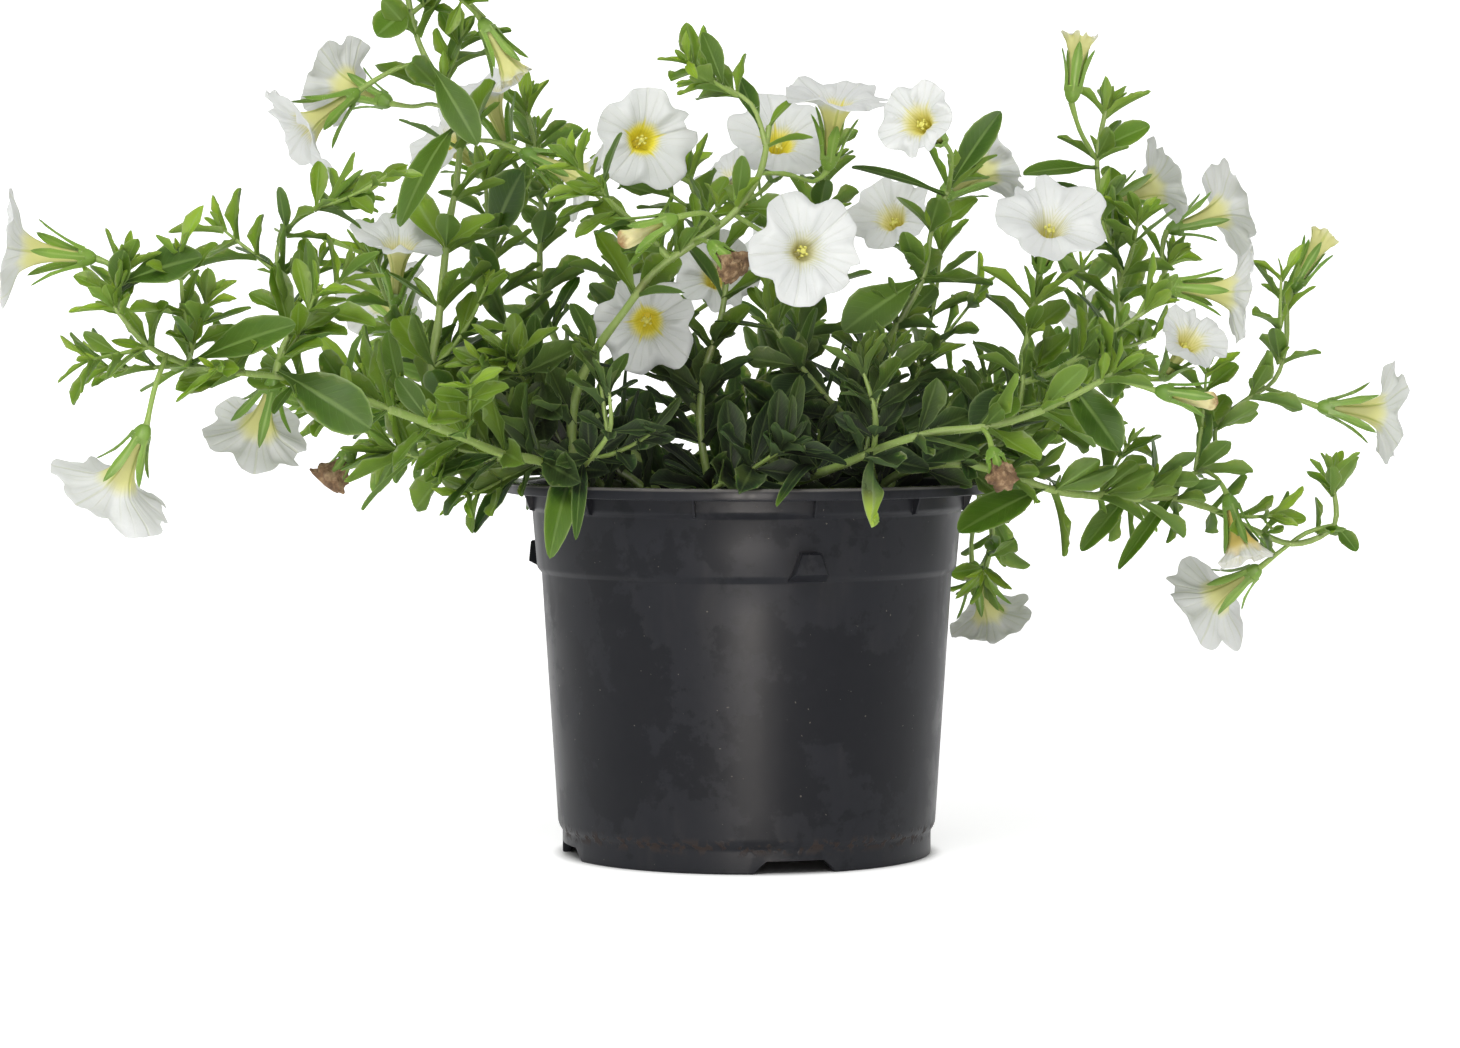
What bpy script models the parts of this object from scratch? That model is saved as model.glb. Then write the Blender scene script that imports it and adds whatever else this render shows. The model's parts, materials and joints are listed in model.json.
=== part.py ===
"""A calibrachoa in its nursery pot: white trumpet flowers on leafy, trailing stems.

The pot stands on z = 0 with its axis on the world's Z, and the plant's front faces -Y.
Every leafy stem, every flower, the soil and the pot is an object of its own.
Places on the plant are written in millimetres as (across, depth, up) on a front view that is
drawn at the pot's axis. seen() then moves each point along the line of sight to its depth.
"""

import itertools
import math
import random
from collections import namedtuple

import bmesh
import bpy
from mathutils import Matrix, Vector
from mathutils.bvhtree import BVHTree

MM = 0.001
UP = Vector((0.0, 0.0, 1.0))
GAP = 0.3 * MM
CRUMB = 0.002 * MM
FLAT_ANGLE = math.radians(0.4)

# The front view's eye
EYE_DISTANCE = 1120.0
EYE_HEIGHT = 140.0

# Pot: a 13 cm nursery pot, outer sizes in millimetres
POT_SEGMENTS = 32
RIM_RADIUS = 65.0
RIM_TOP = 100.1
RIM_THICK = 3.0
COLLAR_RADIUS = 59.3
COLLAR_HEIGHT = 4.9
COLLAR_CHAMFER = 1.3
UPPER_RADIUS = 57.6
STEP_HEIGHT = 77.0
STEP_RADIUS = 56.3
STEP_DEPTH = 1.2
STEP_DROP = 1.4
WALL = 1.4
FOOT_RADIUS = 49.6
FOOT_HEIGHT = 6.4
LOWER_RADIUS = 50.8
FOOT_WALL = 2.2
FLOOR_UNDER = 3.6
FLOOR_TOP = 5.2
LUG_ANGLES = (16.2, 136.2, -103.8)
LUG_SIZE = (10.4, 5.2, 7.5)
LUG_RADIUS = 59.9
LUG_DROP = 1.1
LUG_CHAMFER = 2.0
LUG_FOOT_PROUD = 0.2
LUG_SUNK = 0.7
NOTCH_TURN = 15.0
NOTCH_COUNT = 4
NOTCH_WIDTH = 21.5
NOTCH_HEIGHT = 3.4
NOTCH_SLOPE = 2.6

# Soil
SOIL_TOP = 90.0
SOIL_LUMPS = 1.2
SOIL_RINGS = 2
SOIL_SPOKES = 12
HOLE_CLEAR = 0.5
FOOT_DEPTH = 9.0

# Flower, along its own axis from the base of the calyx
FLOWER_LONG = 20.0
CUP_LOW = 0.2
CUP_FOOT = 1.8
CUP_RIM = 3.2
CUP_OUTER = 2.5
CUP_INNER = 1.95
CUP_BOTTOM = 1.1
SEPAL_REACH = 5.8
SEPAL_TOP = 11.0
TUBE_LOW = 1.6
TUBE_FOOT = 1.45
THROAT_RADIUS = 4.4
LIMB_DEPTH = {"open": 3.6, "half_open": 3.0}
FADED_DEPTH = 4.0
HOLLOW = {"open": 8.5, "half_open": 9.0}
PETALS = 5
PETAL_SKIN = 0.75
STALK_RADIUS = 0.6
TIP_KEPT = 2.5

# Stems and leaves
STEM_SIDES = 4
# Share of the length, share of the width, and depth of the keel under the blade
LONG_STATIONS = ((0.32, 0.74, 0.95), (0.72, 1.0, 0.5))
SHORT_STATIONS = ((0.55, 1.0, 0.8),)
BLADE_TOP = 0.4
BLADE_FOLD = 0.22
ROOT_DEPTH = 0.4
CLEARANCE = 0.55
TRIES = 7
HAIRS = 6
HAIR = 0.02
GOLDEN_TURN = math.radians(137.5)
SHORT_LEAF = 15.5

Branch = namedtuple("Branch", "route thick every long tuft", defaults=(1.3, 10.0, (22.0, 13.0), 5))
Bloom = namedtuple("Bloom", "stem place facing wide kind", defaults=("open",))
Leaf = namedtuple("Leaf", "root axis face long wide bend")

# The leafy stems. The first branch of each stands in the soil, straight up as far as its first
# point, and the others grow from it.
# A branch is its route, its radius at the foot, the distance between leaves, the lengths of
# its lowest and highest leaves, and the number of leaves in its tuft.
STEMS = {
    "tall_left": [
        Branch([(-26, -8, 96), (-44, -16, 101), (-59, -24, 106), (-75, -30, 114),
                (-84, -32, 125), (-83, -30, 140), (-80, -24, 168), (-77, -20, 193),
                (-87, -20, 215), (-91, -20, 231)], 1.6, 10.0, (24, 20), 5),
        Branch([(-90, -20, 225), (-83, -23, 231), (-75, -26, 230), (-70, -26, 224)],
               0.8, 8.0, (14, 12), 0),
    ],
    "left_runner": [
        Branch([(-34, -20, 96), (-43, -27, 101), (-53, -38, 105), (-65, -52, 107),
                (-82, -65, 114), (-101, -76, 121), (-120, -86, 127), (-143, -97, 130),
                (-158, -105, 134), (-170, -112, 147)], 1.5, 9.0, (24, 14), 2),
        Branch([(-53, -38, 105), (-66, -42, 106), (-80, -46, 105), (-94, -50, 108)],
               1.1, 7.0, (25, 20), 6),
        Branch([(-150, -101, 131), (-148, -102, 139), (-145, -103, 148)], 0.8, 5.0, (14, 12), 6),
        Branch([(-169, -111, 145), (-169, -112, 151), (-167, -112, 157)], 0.8, 5.0, (15, 12), 3),
        Branch([(-127, -89, 128), (-122, -85, 141), (-114, -81, 148), (-109, -79, 154)],
               1.0, 6.0, (20, 16), 5),
        Branch([(-122, -85, 141), (-126, -78, 160), (-122, -72, 169), (-110, -68, 176)],
               0.9, 9.0, (15, 16), 5),
    ],
    "left_mass": [
        Branch([(-32, 8, 96), (-48, 2, 101), (-62, -4, 107), (-77, -8, 118),
                (-88, -8, 134), (-96, -6, 148), (-101, -4, 160)], 1.5, 7.0, (25, 17), 6),
        Branch([(-77, -8, 118), (-90, -24, 121), (-103, -38, 126)], 1.0, 7.0, (24, 18), 6),
    ],
    "left_inner": [
        Branch([(-22, -16, 96), (-36, -18, 103), (-50, -8, 117), (-62, 4, 132),
                (-66, 12, 148), (-69, 18, 166), (-70, 20, 180)], 1.4, 7.5, (26, 18), 6),
        Branch([(-50, -8, 117), (-58, -30, 124), (-62, -44, 132)], 1.0, 7.0, (24, 18), 6),
    ],
    "back_left": [
        Branch([(-16, 16, 96), (-30, 30, 107), (-44, 38, 124), (-55, 44, 148),
                (-55, 46, 170), (-56, 46, 186), (-59, 44, 199)], 1.4, 9.0, (22, 14), 6),
    ],
    "front_diagonal": [
        Branch([(-38, -34, 96), (-46, -35, 102), (-47, -36, 113), (-44, -42, 130),
                (-39, -46, 137), (-28, -52, 152), (-20, -54, 161), (-10, -54, 166),
                (1, -52, 177), (5, -50, 188), (6, -48, 195)], 1.6, 13.0, (22, 18), 2),
        Branch([(-21, -54, 160), (-31, -58, 170), (-39, -60, 177), (-45, -60, 184)],
               1.0, 7.0, (17, 14), 6),
        Branch([(5, -49, 190), (3, -50, 199), (-4, -50, 204), (-9, -50, 207)],
               0.9, 8.0, (18, 14), 6),
        Branch([(-46, -35, 103), (-42, -50, 106), (-38, -57, 111), (-36, -60, 117),
                (-37, -60, 124)], 1.0, 8.0, (16, 14), 4),
    ],
    "centre_mass": [
        Branch([(-8, -12, 96), (-12, -16, 108), (-12, -16, 126), (-7, -16, 143),
                (-6, -16, 158), (-12, -14, 172), (-16, -12, 182)], 1.4, 8.0, (25, 17), 5),
        Branch([(-12, -16, 118), (-22, -6, 128), (-30, 4, 142), (-33, 8, 154)],
               1.0, 8.0, (24, 17), 5),
    ],
    "centre_back": [
        Branch([(4, 14, 96), (8, 22, 108), (12, 28, 130), (17, 32, 150),
                (19, 32, 168), (20, 32, 182)], 1.4, 8.0, (24, 16), 6),
    ],
    "front_low": [
        Branch([(-12, -32, 96), (-6, -42, 99), (3, -50, 104), (10, -56, 109)],
               1.1, 7.0, (24, 20), 5),
    ],
    "right_rising": [
        Branch([(4, -24, 96), (14, -36, 100), (25, -46, 104), (34, -52, 108),
                (45, -56, 112), (58, -58, 114), (69, -58, 115), (79, -56, 119),
                (90, -54, 124), (99, -52, 129)], 1.6, 11.0, (24, 16), 5),
        Branch([(34, -52, 108), (35, -56, 115), (33, -58, 124), (31, -58, 130)],
               1.0, 7.0, (17, 15), 6),
    ],
    "right_upright": [
        Branch([(24, -5, 96), (38, -10, 101), (54, -16, 106), (66, -25, 112),
                (72, -32, 118), (74, -35, 128), (75, -35, 137), (77, -34, 148)],
               1.5, 8.0, (26, 16), 5),
        Branch([(74, -35, 126), (86, -40, 131), (97, -43, 139), (108, -44, 146)],
               1.0, 9.0, (20, 15), 4),
    ],
    "centre_upright": [
        Branch([(14, -8, 96), (24, -12, 101), (31, -16, 112), (34, -18, 128),
                (38, -20, 138), (45, -22, 149), (48, -22, 157), (50, -22, 169),
                (55, -22, 180)], 1.4, 9.0, (24, 17), 5),
        Branch([(31, -16, 113), (22, -22, 122), (12, -26, 134), (6, -26, 144)],
               1.0, 8.0, (22, 17), 5),
    ],
    "right_runner": [
        Branch([(32, -18, 96), (42, -26, 102), (54, -32, 105), (66, -33, 103),
                (80, -26, 98), (93, -16, 96), (105, -8, 95), (118, 0, 95), (130, 5, 90),
                (140, 8, 85), (149, 8, 83), (157, 8, 86), (158, 8, 93), (157, 8, 101)],
               1.5, 10.0, (21, 12), 6),
        Branch([(118, 0, 95), (123, 4, 103), (125, 8, 113), (131, 12, 120), (139, 14, 124),
                (143, 15, 130), (145, 16, 138), (145, 16, 147)], 1.0, 10.0, (19, 13), 2),
    ],
    "right_tall": [
        Branch([(34, 4, 96), (46, 7, 102), (59, 10, 107), (74, 13, 113),
                (87, 14, 122), (97, 14, 133), (100, 14, 145), (100, 14, 157), (96, 14, 170),
                (94, 14, 182), (94, 14, 190), (96, 14, 199)], 1.5, 9.0, (22, 14), 5),
        Branch([(100, 14, 152), (103, 10, 161), (105, 6, 170)], 0.9, 6.0, (17, 13), 5),
    ],
    "right_back": [
        Branch([(26, 20, 96), (40, 28, 102), (52, 34, 106), (68, 42, 114),
                (84, 48, 126), (98, 50, 138), (108, 50, 148), (113, 50, 158)],
               1.4, 8.0, (24, 15), 6),
    ],
    "right_hanging": [
        Branch([(24, 34, 96), (36, 42, 104), (47, 49, 108), (58, 54, 104),
                (65, 56, 94), (66, 57, 84), (64, 58, 74)], 1.2, 8.0, (20, 15), 6),
    ],
    "rear_left": [
        Branch([(-22, 30, 96), (-33, 44, 105), (-44, 58, 111), (-60, 76, 114),
                (-78, 90, 124), (-92, 98, 138)], 1.4, 8.0, (24, 16), 6),
        Branch([(-44, 58, 111), (-70, 60, 110), (-96, 58, 112), (-118, 54, 120)],
               1.1, 9.0, (22, 15), 6),
    ],
    "rear_centre": [
        Branch([(-2, 34, 96), (-4, 50, 106), (-4, 66, 112), (0, 86, 120),
                (6, 98, 136), (8, 102, 150)], 1.4, 8.0, (24, 16), 6),
        Branch([(-4, 60, 107), (-18, 66, 124), (-26, 68, 144), (-28, 68, 160)],
               1.0, 8.0, (22, 15), 6),
    ],
    "rear_right": [
        Branch([(12, 30, 96), (22, 46, 105), (34, 62, 111), (50, 80, 114),
                (68, 94, 120), (82, 100, 130)], 1.4, 8.0, (24, 16), 6),
        Branch([(34, 62, 111), (44, 64, 126), (50, 64, 146), (52, 62, 162)],
               1.0, 8.0, (22, 15), 6),
    ],
}

# The flowers: the stem that carries each, the centre of its mouth, the way that it faces,
# its width and its state.
BLOOMS = [
    Bloom("left_runner", (-198, -114, 162), (-1.0, -0.15, 0.1), 29),
    Bloom("left_runner", (-171, -104, 96), (-0.45, 0.3, -0.8), 33),
    Bloom("left_runner", (-132, -72, 112), (-0.3, 0.6, -0.7), 27),
    Bloom("tall_left", (-121, -30, 193), (-0.77, -0.3, -0.55), 28),
    Bloom("tall_left", (-110, 12, 207), (-0.72, 0.5, 0.3), 26),
    Bloom("left_mass", (-93, -20, 166), (0.1, -0.4, 0.9), 27),
    Bloom("back_left", (-70, 26, 206), (-0.3, -0.3, 0.9), 26),
    Bloom("tall_left", (-42, -14, 180), (0.9, 0.1, -0.4), 24),
    Bloom("centre_mass", (-27, -42, 192), (0.25, -0.95, 0.1), 27),
    Bloom("centre_mass", (-27, -36, 142), (0.0, -0.95, -0.15), 28),
    Bloom("centre_mass", (9, -16, 193), (0.1, -0.8, 0.55), 28),
    Bloom("front_diagonal", (24, -42, 204), (0.1, -0.3, 0.93), 29),
    Bloom("centre_upright", (45, -60, 197), (-0.4, -0.85, 0.25), 21),
    Bloom("front_diagonal", (16, -72, 162), (0.15, -0.97, 0.05), 29),
    Bloom("centre_back", (-6, 30, 184), (-0.5, -0.3, 0.7), 25),
    Bloom("right_upright", (82, -50, 171), (0.1, -0.7, 0.65), 30),
    Bloom("centre_upright", (66, 8, 185), (0.75, 0.4, 0.5), 23),
    Bloom("right_tall", (112, 34, 180), (0.9, 0.2, 0.35), 25),
    Bloom("right_back", (130, 56, 173), (0.9, 0.3, 0.3), 30),
    Bloom("right_upright", (133, -36, 150), (0.93, 0.0, -0.1), 26),
    Bloom("right_tall", (120, -6, 139), (0.3, -0.6, 0.5), 20),
    Bloom("right_tall", (89, 6, 219), (0.12, 0.0, 0.98), 10, "half_open"),
    Bloom("right_runner", (155, 16, 166), (0.5, 0.0, 0.85), 9, "half_open"),
    Bloom("right_runner", (173, 20, 118), (0.98, 0.1, -0.1), 28),
    Bloom("right_runner", (124, 24, 67), (-0.6, 0.6, -0.5), 29),
    Bloom("right_runner", (134, -8, 79), (0.25, -0.2, -0.95), 15, "half_open"),
    Bloom("right_hanging", (66, 66, 62), (0.3, 0.4, -0.85), 25),
    Bloom("tall_left", (-62, -28, 208), (0.5, -0.1, -0.85), 10, "half_open"),
    Bloom("back_left", (-82, 34, 192), (-0.6, -0.6, 0.5), 23),
    Bloom("right_rising", (126, -52, 121), (1.0, 0.0, -0.2), 5, "wilting"),
    Bloom("front_diagonal", (-34, -72, 164), (-0.9, -0.2, -0.4), 5, "wilting"),
    Bloom("rear_right", (38, 52, 172), (-0.3, -0.7, 0.5), 25),
    Bloom("rear_centre", (-8, 52, 156), (0.1, -0.9, 0.4), 25),
    Bloom("rear_left", (-98, 116, 150), (-0.3, 0.8, 0.4), 29),
    Bloom("rear_centre", (12, 119, 160), (0.2, 0.8, 0.5), 30),
    Bloom("rear_right", (96, 114, 140), (0.5, 0.8, 0.2), 28),
    Bloom("left_runner", (-113, -50, 99), (-0.6, -0.2, -0.8), 6, "withered"),
    Bloom("right_rising", (69, -74, 99), (0.2, -0.6, -0.7), 5, "withered"),
    Bloom("front_diagonal", (-2, -64, 156), (0.6, -0.4, -0.6), 6, "withered"),
]

# Large leaves that the front view shows: stem, root, tip, width and bend
FRONT_LEAVES = [
    ("tall_left", (-77, -20, 195), (-93, -50, 168), 7.5, -0.5),
    ("tall_left", (-85, -20, 212), (-72, -32, 190), 8.0, -0.15),
    ("tall_left", (-91, -20, 226), (-99, -28, 219), 8.5, -0.15),
    ("left_runner", (-167, -112, 152), (-146, -118, 160), 9.5, -0.15),
    ("left_runner", (-169, -112, 150), (-167, -118, 162), 5.5, -0.15),
    ("left_runner", (-150, -100, 131), (-121, -108, 142), 9.0, -0.15),
    ("left_runner", (-126, -88, 129), (-101, -96, 114), 12.5, -0.15),
    ("left_runner", (-112, -69, 175), (-100, -76, 174), 9.0, -0.15),
    ("front_diagonal", (-46, -35, 105), (-53, -62, 79), 7.5, -0.9),
    ("front_diagonal", (-44, -42, 105), (-46, -66, 84), 3.5, -0.9),
    ("right_rising", (33, -52, 108), (34, -72, 83), 5.0, -0.8),
    ("right_rising", (18, -40, 103), (8, -78, 93), 4.0, -0.9),
    ("right_upright", (59, -29, 124), (48, -48, 105), 12.0, -0.15),
    ("right_upright", (69, -32, 128), (61, -46, 113), 10.0, -0.15),
    ("right_upright", (86, -40, 125), (100, -48, 108), 10.5, -0.15),
    ("right_upright", (100, -44, 138), (98, -50, 122), 8.5, -0.15),
    ("centre_upright", (47, -22, 154), (26, -34, 140), 11.5, -0.15),
    ("centre_upright", (24, -22, 136), (10, -36, 122), 10.5, -0.15),
    ("left_inner", (-67, 14, 164), (-60, 2, 183), 12.5, -0.15),
    ("right_tall", (96, 14, 188), (108, 8, 195), 7.0, -0.15),
    ("centre_upright", (56, -22, 184), (68, -30, 199), 7.0, -0.15),
    ("right_tall", (95, 14, 184), (74, 6, 182), 6.5, -0.15),
    ("centre_upright", (50, -22, 178), (28, -32, 184), 4.0, -0.15),
    ("front_diagonal", (-7, -50, 204), (-12, -54, 220), 5.5, -0.15),
    ("right_runner", (80, -24, 99), (57, -46, 86), 10.0, -0.15),
    ("right_runner", (105, -8, 94), (90, -14, 81), 6.0, -0.15),
    ("right_runner", (122, 1, 92), (100, -8, 76), 4.5, -0.15),
    ("right_runner", (150, 8, 83), (164, 4, 81), 4.5, -0.15),
]

COLOURS = {
    "pot_plastic": ((0.018, 0.019, 0.022), 0.42),
    "potting_soil": ((0.035, 0.022, 0.014), 0.95),
    "leaf_green": ((0.105, 0.225, 0.035), 0.5),
    "petal_white": ((0.86, 0.86, 0.82), 0.55),
    "petal_yellow": ((0.84, 0.76, 0.36), 0.55),
    "withered_brown": ((0.27, 0.13, 0.07), 0.85),
}
BLOOM_COLOURS = {"open": "petal_white", "half_open": "petal_white",
                 "wilting": "petal_yellow", "withered": "withered_brown"}


def seen(place):
    """A point of the front view, moved along the line of sight to its depth."""
    across, depth, up = place
    grow = 1.0 + depth / EYE_DISTANCE
    return Vector((across * grow, depth, EYE_HEIGHT + (up - EYE_HEIGHT) * grow)) * MM


def route_of(number, branch):
    """A branch's route; a first branch starts in its hole in the soil."""
    route = [seen(place) for place in branch.route]
    if number == 0:
        foot = route[0]
        heights = (SOIL_TOP - FOOT_DEPTH, SOIL_TOP + 2.5)
        route = [Vector((foot.x, foot.y, height * MM)) for height in heights] + route
    return route


def branch_path(number, branch, spacing, grown):
    """Points along a branch; a foot in its hole stays straight, the others start on a stem."""
    route = route_of(number, branch)
    if number == 0:
        return [route[0]] + smooth_points(route[1:], spacing)
    route[0] = nearest_on(grown, route[0])[0]
    return smooth_points(route, spacing)


def make_material(name):
    colour, rough = COLOURS[name]
    material = bpy.data.materials.new(name)
    material.use_nodes = True
    surface = material.node_tree.nodes["Principled BSDF"]
    surface.inputs["Base Color"].default_value = (*colour, 1.0)
    surface.inputs["Roughness"].default_value = rough
    surface.inputs["Metallic"].default_value = 0.0
    return material


def make_object(name, verts, faces, material=None):
    mesh = bpy.data.meshes.new(name)
    mesh.from_pydata([tuple(v) for v in verts], [], faces)
    mesh.update()
    if material:
        mesh.materials.append(material)
    obj = bpy.data.objects.new(name, mesh)
    bpy.context.scene.collection.objects.link(obj)
    return obj


def apply_modifiers(obj):
    graph = bpy.context.evaluated_depsgraph_get()
    mesh = bpy.data.meshes.new_from_object(obj.evaluated_get(graph))
    obj.modifiers.clear()
    obj.data = mesh


def combine(obj, others, operation, solver="EXACT"):
    """Joins the others to obj, or cuts them out of it, with one Boolean on a collection."""
    group = bpy.data.collections.new("operands")
    for other in others:
        group.objects.link(other)
    boolean = obj.modifiers.new("combine", "BOOLEAN")
    boolean.operation = operation
    boolean.solver = solver
    boolean.operand_type = "COLLECTION"
    boolean.collection = group
    apply_modifiers(obj)
    for other in others:
        bpy.data.objects.remove(other)
    bpy.data.collections.remove(group)


def clean_joins(obj):
    """Merges the crumbs that a Boolean leaves along its seams and splits its faces in three."""
    form = bmesh.new()
    form.from_mesh(obj.data)
    bmesh.ops.remove_doubles(form, verts=form.verts, dist=CRUMB)
    bmesh.ops.dissolve_degenerate(form, edges=form.edges, dist=CRUMB)
    bmesh.ops.dissolve_limit(form, angle_limit=FLAT_ANGLE, verts=form.verts, edges=form.edges)
    split_in_three(form)
    form.to_mesh(obj.data)
    form.free()


def split_in_three(form):
    """Cuts every face into triangles, with no diagonal that is an edge of another face."""
    taken = {frozenset(edge.verts) for edge in form.edges}
    for face in list(form.faces):
        corners = list(face.verts)
        if len(corners) == 3:
            continue
        normal = face.normal.copy()
        smooth, slot = face.smooth, face.material_index
        bmesh.ops.delete(form, geom=[face], context="FACES_ONLY")
        while len(corners) >= 3:
            k = best_ear(corners, normal, taken) if len(corners) > 3 else 1
            before, after = corners[k - 1], corners[(k + 1) % len(corners)]
            piece = form.faces.new((before, corners[k], after))
            piece.smooth, piece.material_index = smooth, slot
            taken.add(frozenset((before, after)))
            del corners[k]


def best_ear(corners, normal, taken):
    """The corner whose triangle is fullest among those that can be cut off a face."""
    count = len(corners)
    best, fullest = 1, -1.0
    for k in range(count):
        a, b, c = corners[k - 1], corners[k], corners[(k + 1) % count]
        full = fullness(a.co, b.co, c.co, normal)
        if full <= 1e-6 or frozenset((a, c)) in taken:
            continue
        others = [corners[(k + i) % count] for i in range(2, count - 1)]
        if any(inside(v.co, a.co, b.co, c.co, normal) for v in others):
            continue
        if count == 4:
            full = min(full, fullness(a.co, c.co, others[0].co, normal))
        if full > fullest:
            best, fullest = k, full
    return best


def fullness(a, b, c, normal):
    """A triangle's area over its longest side squared; negative where it turns the other way."""
    longest = max((b - a).length, (c - b).length, (a - c).length)
    return (b - a).cross(c - b).dot(normal) / (longest * longest)


def inside(point, a, b, c, normal):
    """Whether a point lies in a triangle or on its sides."""
    return all((q - p).cross(point - p).dot(normal) >= -1e-12 for p, q in ((a, b), (b, c), (c, a)))


def turned(profile, segments):
    """A closed mesh of revolution, from an outline whose two ends lie on the axis."""
    rings = []
    verts = []
    for radius, height in profile:
        if radius == 0.0:
            rings.append([len(verts)])
            verts.append(Vector((0.0, 0.0, height)) * MM)
            continue
        rings.append(list(range(len(verts), len(verts) + segments)))
        for i in range(segments):
            turn = 2.0 * math.pi * i / segments
            verts.append(Vector((radius * math.cos(turn), radius * math.sin(turn), height)) * MM)
    return verts, skin(rings)


def skin(rings):
    """Faces between rings of vertex numbers, in order from the foot up; a ring may be one point."""
    faces = []
    for low, high in zip(rings, rings[1:]):
        count = max(len(low), len(high))
        for i in range(count):
            j = (i + 1) % count
            if len(low) == 1:
                faces.append((low[0], high[j], high[i]))
            elif len(high) == 1:
                faces.append((low[i], low[j], high[0]))
            else:
                faces.append((low[i], low[j], high[j], high[i]))
    return faces


def spun(place, degrees):
    """A point turned about the pot's axis; 0 is the front and a positive angle goes right."""
    return Matrix.Rotation(math.radians(degrees), 4, "Z") @ (Vector(place) * MM)


def prism_between(inner, outer):
    """A closed solid between two outlines with the same number of points."""
    count = len(inner)
    faces = [tuple(reversed(range(count))), tuple(range(count, 2 * count))]
    for i in range(count):
        j = (i + 1) % count
        faces.append((i, j, count + j, count + i))
    return list(inner) + list(outer), faces


def make_pot(material):
    rim_under = RIM_TOP - RIM_THICK
    collar_foot = rim_under - COLLAR_HEIGHT
    skirt_top = STEP_RADIUS - STEP_DEPTH
    foot_inside = FOOT_RADIUS - FOOT_WALL
    profile = [
        (0.0, FLOOR_UNDER), (foot_inside, FLOOR_UNDER), (foot_inside, 0.0), (FOOT_RADIUS, 0.0),
        (FOOT_RADIUS, FOOT_HEIGHT), (LOWER_RADIUS, FOOT_HEIGHT + 0.8),
        (skirt_top, STEP_HEIGHT - STEP_DROP), (STEP_RADIUS, STEP_HEIGHT), (UPPER_RADIUS, collar_foot),
        (COLLAR_RADIUS, collar_foot + COLLAR_CHAMFER), (COLLAR_RADIUS, rim_under),
        (RIM_RADIUS, rim_under),
        (RIM_RADIUS, RIM_TOP - 0.6), (RIM_RADIUS - 0.8, RIM_TOP), (COLLAR_RADIUS + 0.4, RIM_TOP),
        (UPPER_RADIUS - WALL, collar_foot), (STEP_RADIUS - WALL, STEP_HEIGHT + 0.8),
        (skirt_top - WALL, STEP_HEIGHT - STEP_DROP), (LOWER_RADIUS - WALL, FLOOR_TOP), (0.0, FLOOR_TOP)]
    verts, faces = turned(profile, POT_SEGMENTS)
    pot = make_object("pot", verts, faces, material)
    combine(pot, [make_lug(angle) for angle in LUG_ANGLES], "UNION")
    notches = [make_notch(NOTCH_TURN + 360.0 / NOTCH_COUNT * i) for i in range(NOTCH_COUNT)]
    combine(pot, notches, "DIFFERENCE")
    clean_joins(pot)
    pot.data.set_sharp_from_angle(angle=math.radians(30))
    return pot


def wall_radius(height):
    """The outer radius of the pot's wall on the step and above it, as far as the collar."""
    collar_foot = RIM_TOP - RIM_THICK - COLLAR_HEIGHT
    if height < STEP_HEIGHT:
        return STEP_RADIUS - STEP_DEPTH * (STEP_HEIGHT - height) / STEP_DROP
    return STEP_RADIUS + (UPPER_RADIUS - STEP_RADIUS) * (height - STEP_HEIGHT) / (collar_foot - STEP_HEIGHT)


def make_lug(angle):
    """A stud on the step: wide below and narrow above, with an upright face and a slanted foot."""
    wide, narrow, tall = LUG_SIZE
    foot = STEP_HEIGHT - LUG_DROP
    levels = ((0.0, wall_radius(foot) + LUG_FOOT_PROUD), (LUG_CHAMFER, LUG_RADIUS), (tall, LUG_RADIUS))
    verts = []
    for rise, outside in levels:
        half = (wide + (narrow - wide) * rise / tall) / 2
        inside = wall_radius(foot + rise) - LUG_SUNK
        corners = ((half, inside), (-half, inside), (-half, outside), (half, outside))
        verts += [spun((x, -radius, foot + rise), angle) for x, radius in corners]
    faces = skin([[0, 1, 2, 3], [4, 5, 6, 7], [8, 9, 10, 11]])
    return make_object("lug", verts, faces + [(3, 2, 1, 0), (8, 9, 10, 11)])


def make_notch(angle):
    """The cutter for one of the drain notches in the foot ring."""
    half = NOTCH_WIDTH / 2
    top = half - NOTCH_SLOPE
    outline = [(-half, -1.0), (half, -1.0), (top, NOTCH_HEIGHT), (-top, NOTCH_HEIGHT)]
    inner = [spun((x, -(FOOT_RADIUS - FOOT_WALL - 4.0), z), angle) for x, z in outline]
    outer = [spun((x, -(FOOT_RADIUS + 3.0), z), angle) for x, z in outline]
    return make_object("notch", *prism_between(inner, outer))


def make_soil(material, feet):
    """The root ball that fills the pot, with a plain hole for each stem."""
    luck = random.Random("soil")
    side = 0.5
    low = LOWER_RADIUS - WALL - side
    high = STEP_RADIUS - STEP_DEPTH - WALL - side
    profile = [(0.0, FLOOR_TOP + 0.3), (low, FLOOR_TOP + 0.3), (high, STEP_HEIGHT - STEP_DROP),
               (high + 0.8, SOIL_TOP - 2.0)]
    for i in range(SOIL_RINGS):
        profile.append(((high - 2.0) * (1.0 - i / SOIL_RINGS), SOIL_TOP))
    profile.append((0.0, SOIL_TOP))
    verts, faces = turned(profile, SOIL_SPOKES)
    for vert in verts:
        if vert.z > (SOIL_TOP - 1.0) * MM:
            vert.z += luck.uniform(-SOIL_LUMPS, SOIL_LUMPS) * MM
    soil = make_object("soil", verts, faces, material)
    holes = []
    for foot, radius in feet:
        under = foot - UP * GAP
        over = Vector((foot.x, foot.y, (SOIL_TOP + 4.0) * MM))
        wide = (radius + HOLE_CLEAR) * MM
        holes.append(make_object("hole", *tube([under, over], [wide, wide], 5)))
    combine(soil, holes, "DIFFERENCE")
    clean_joins(soil)
    return soil


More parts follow.
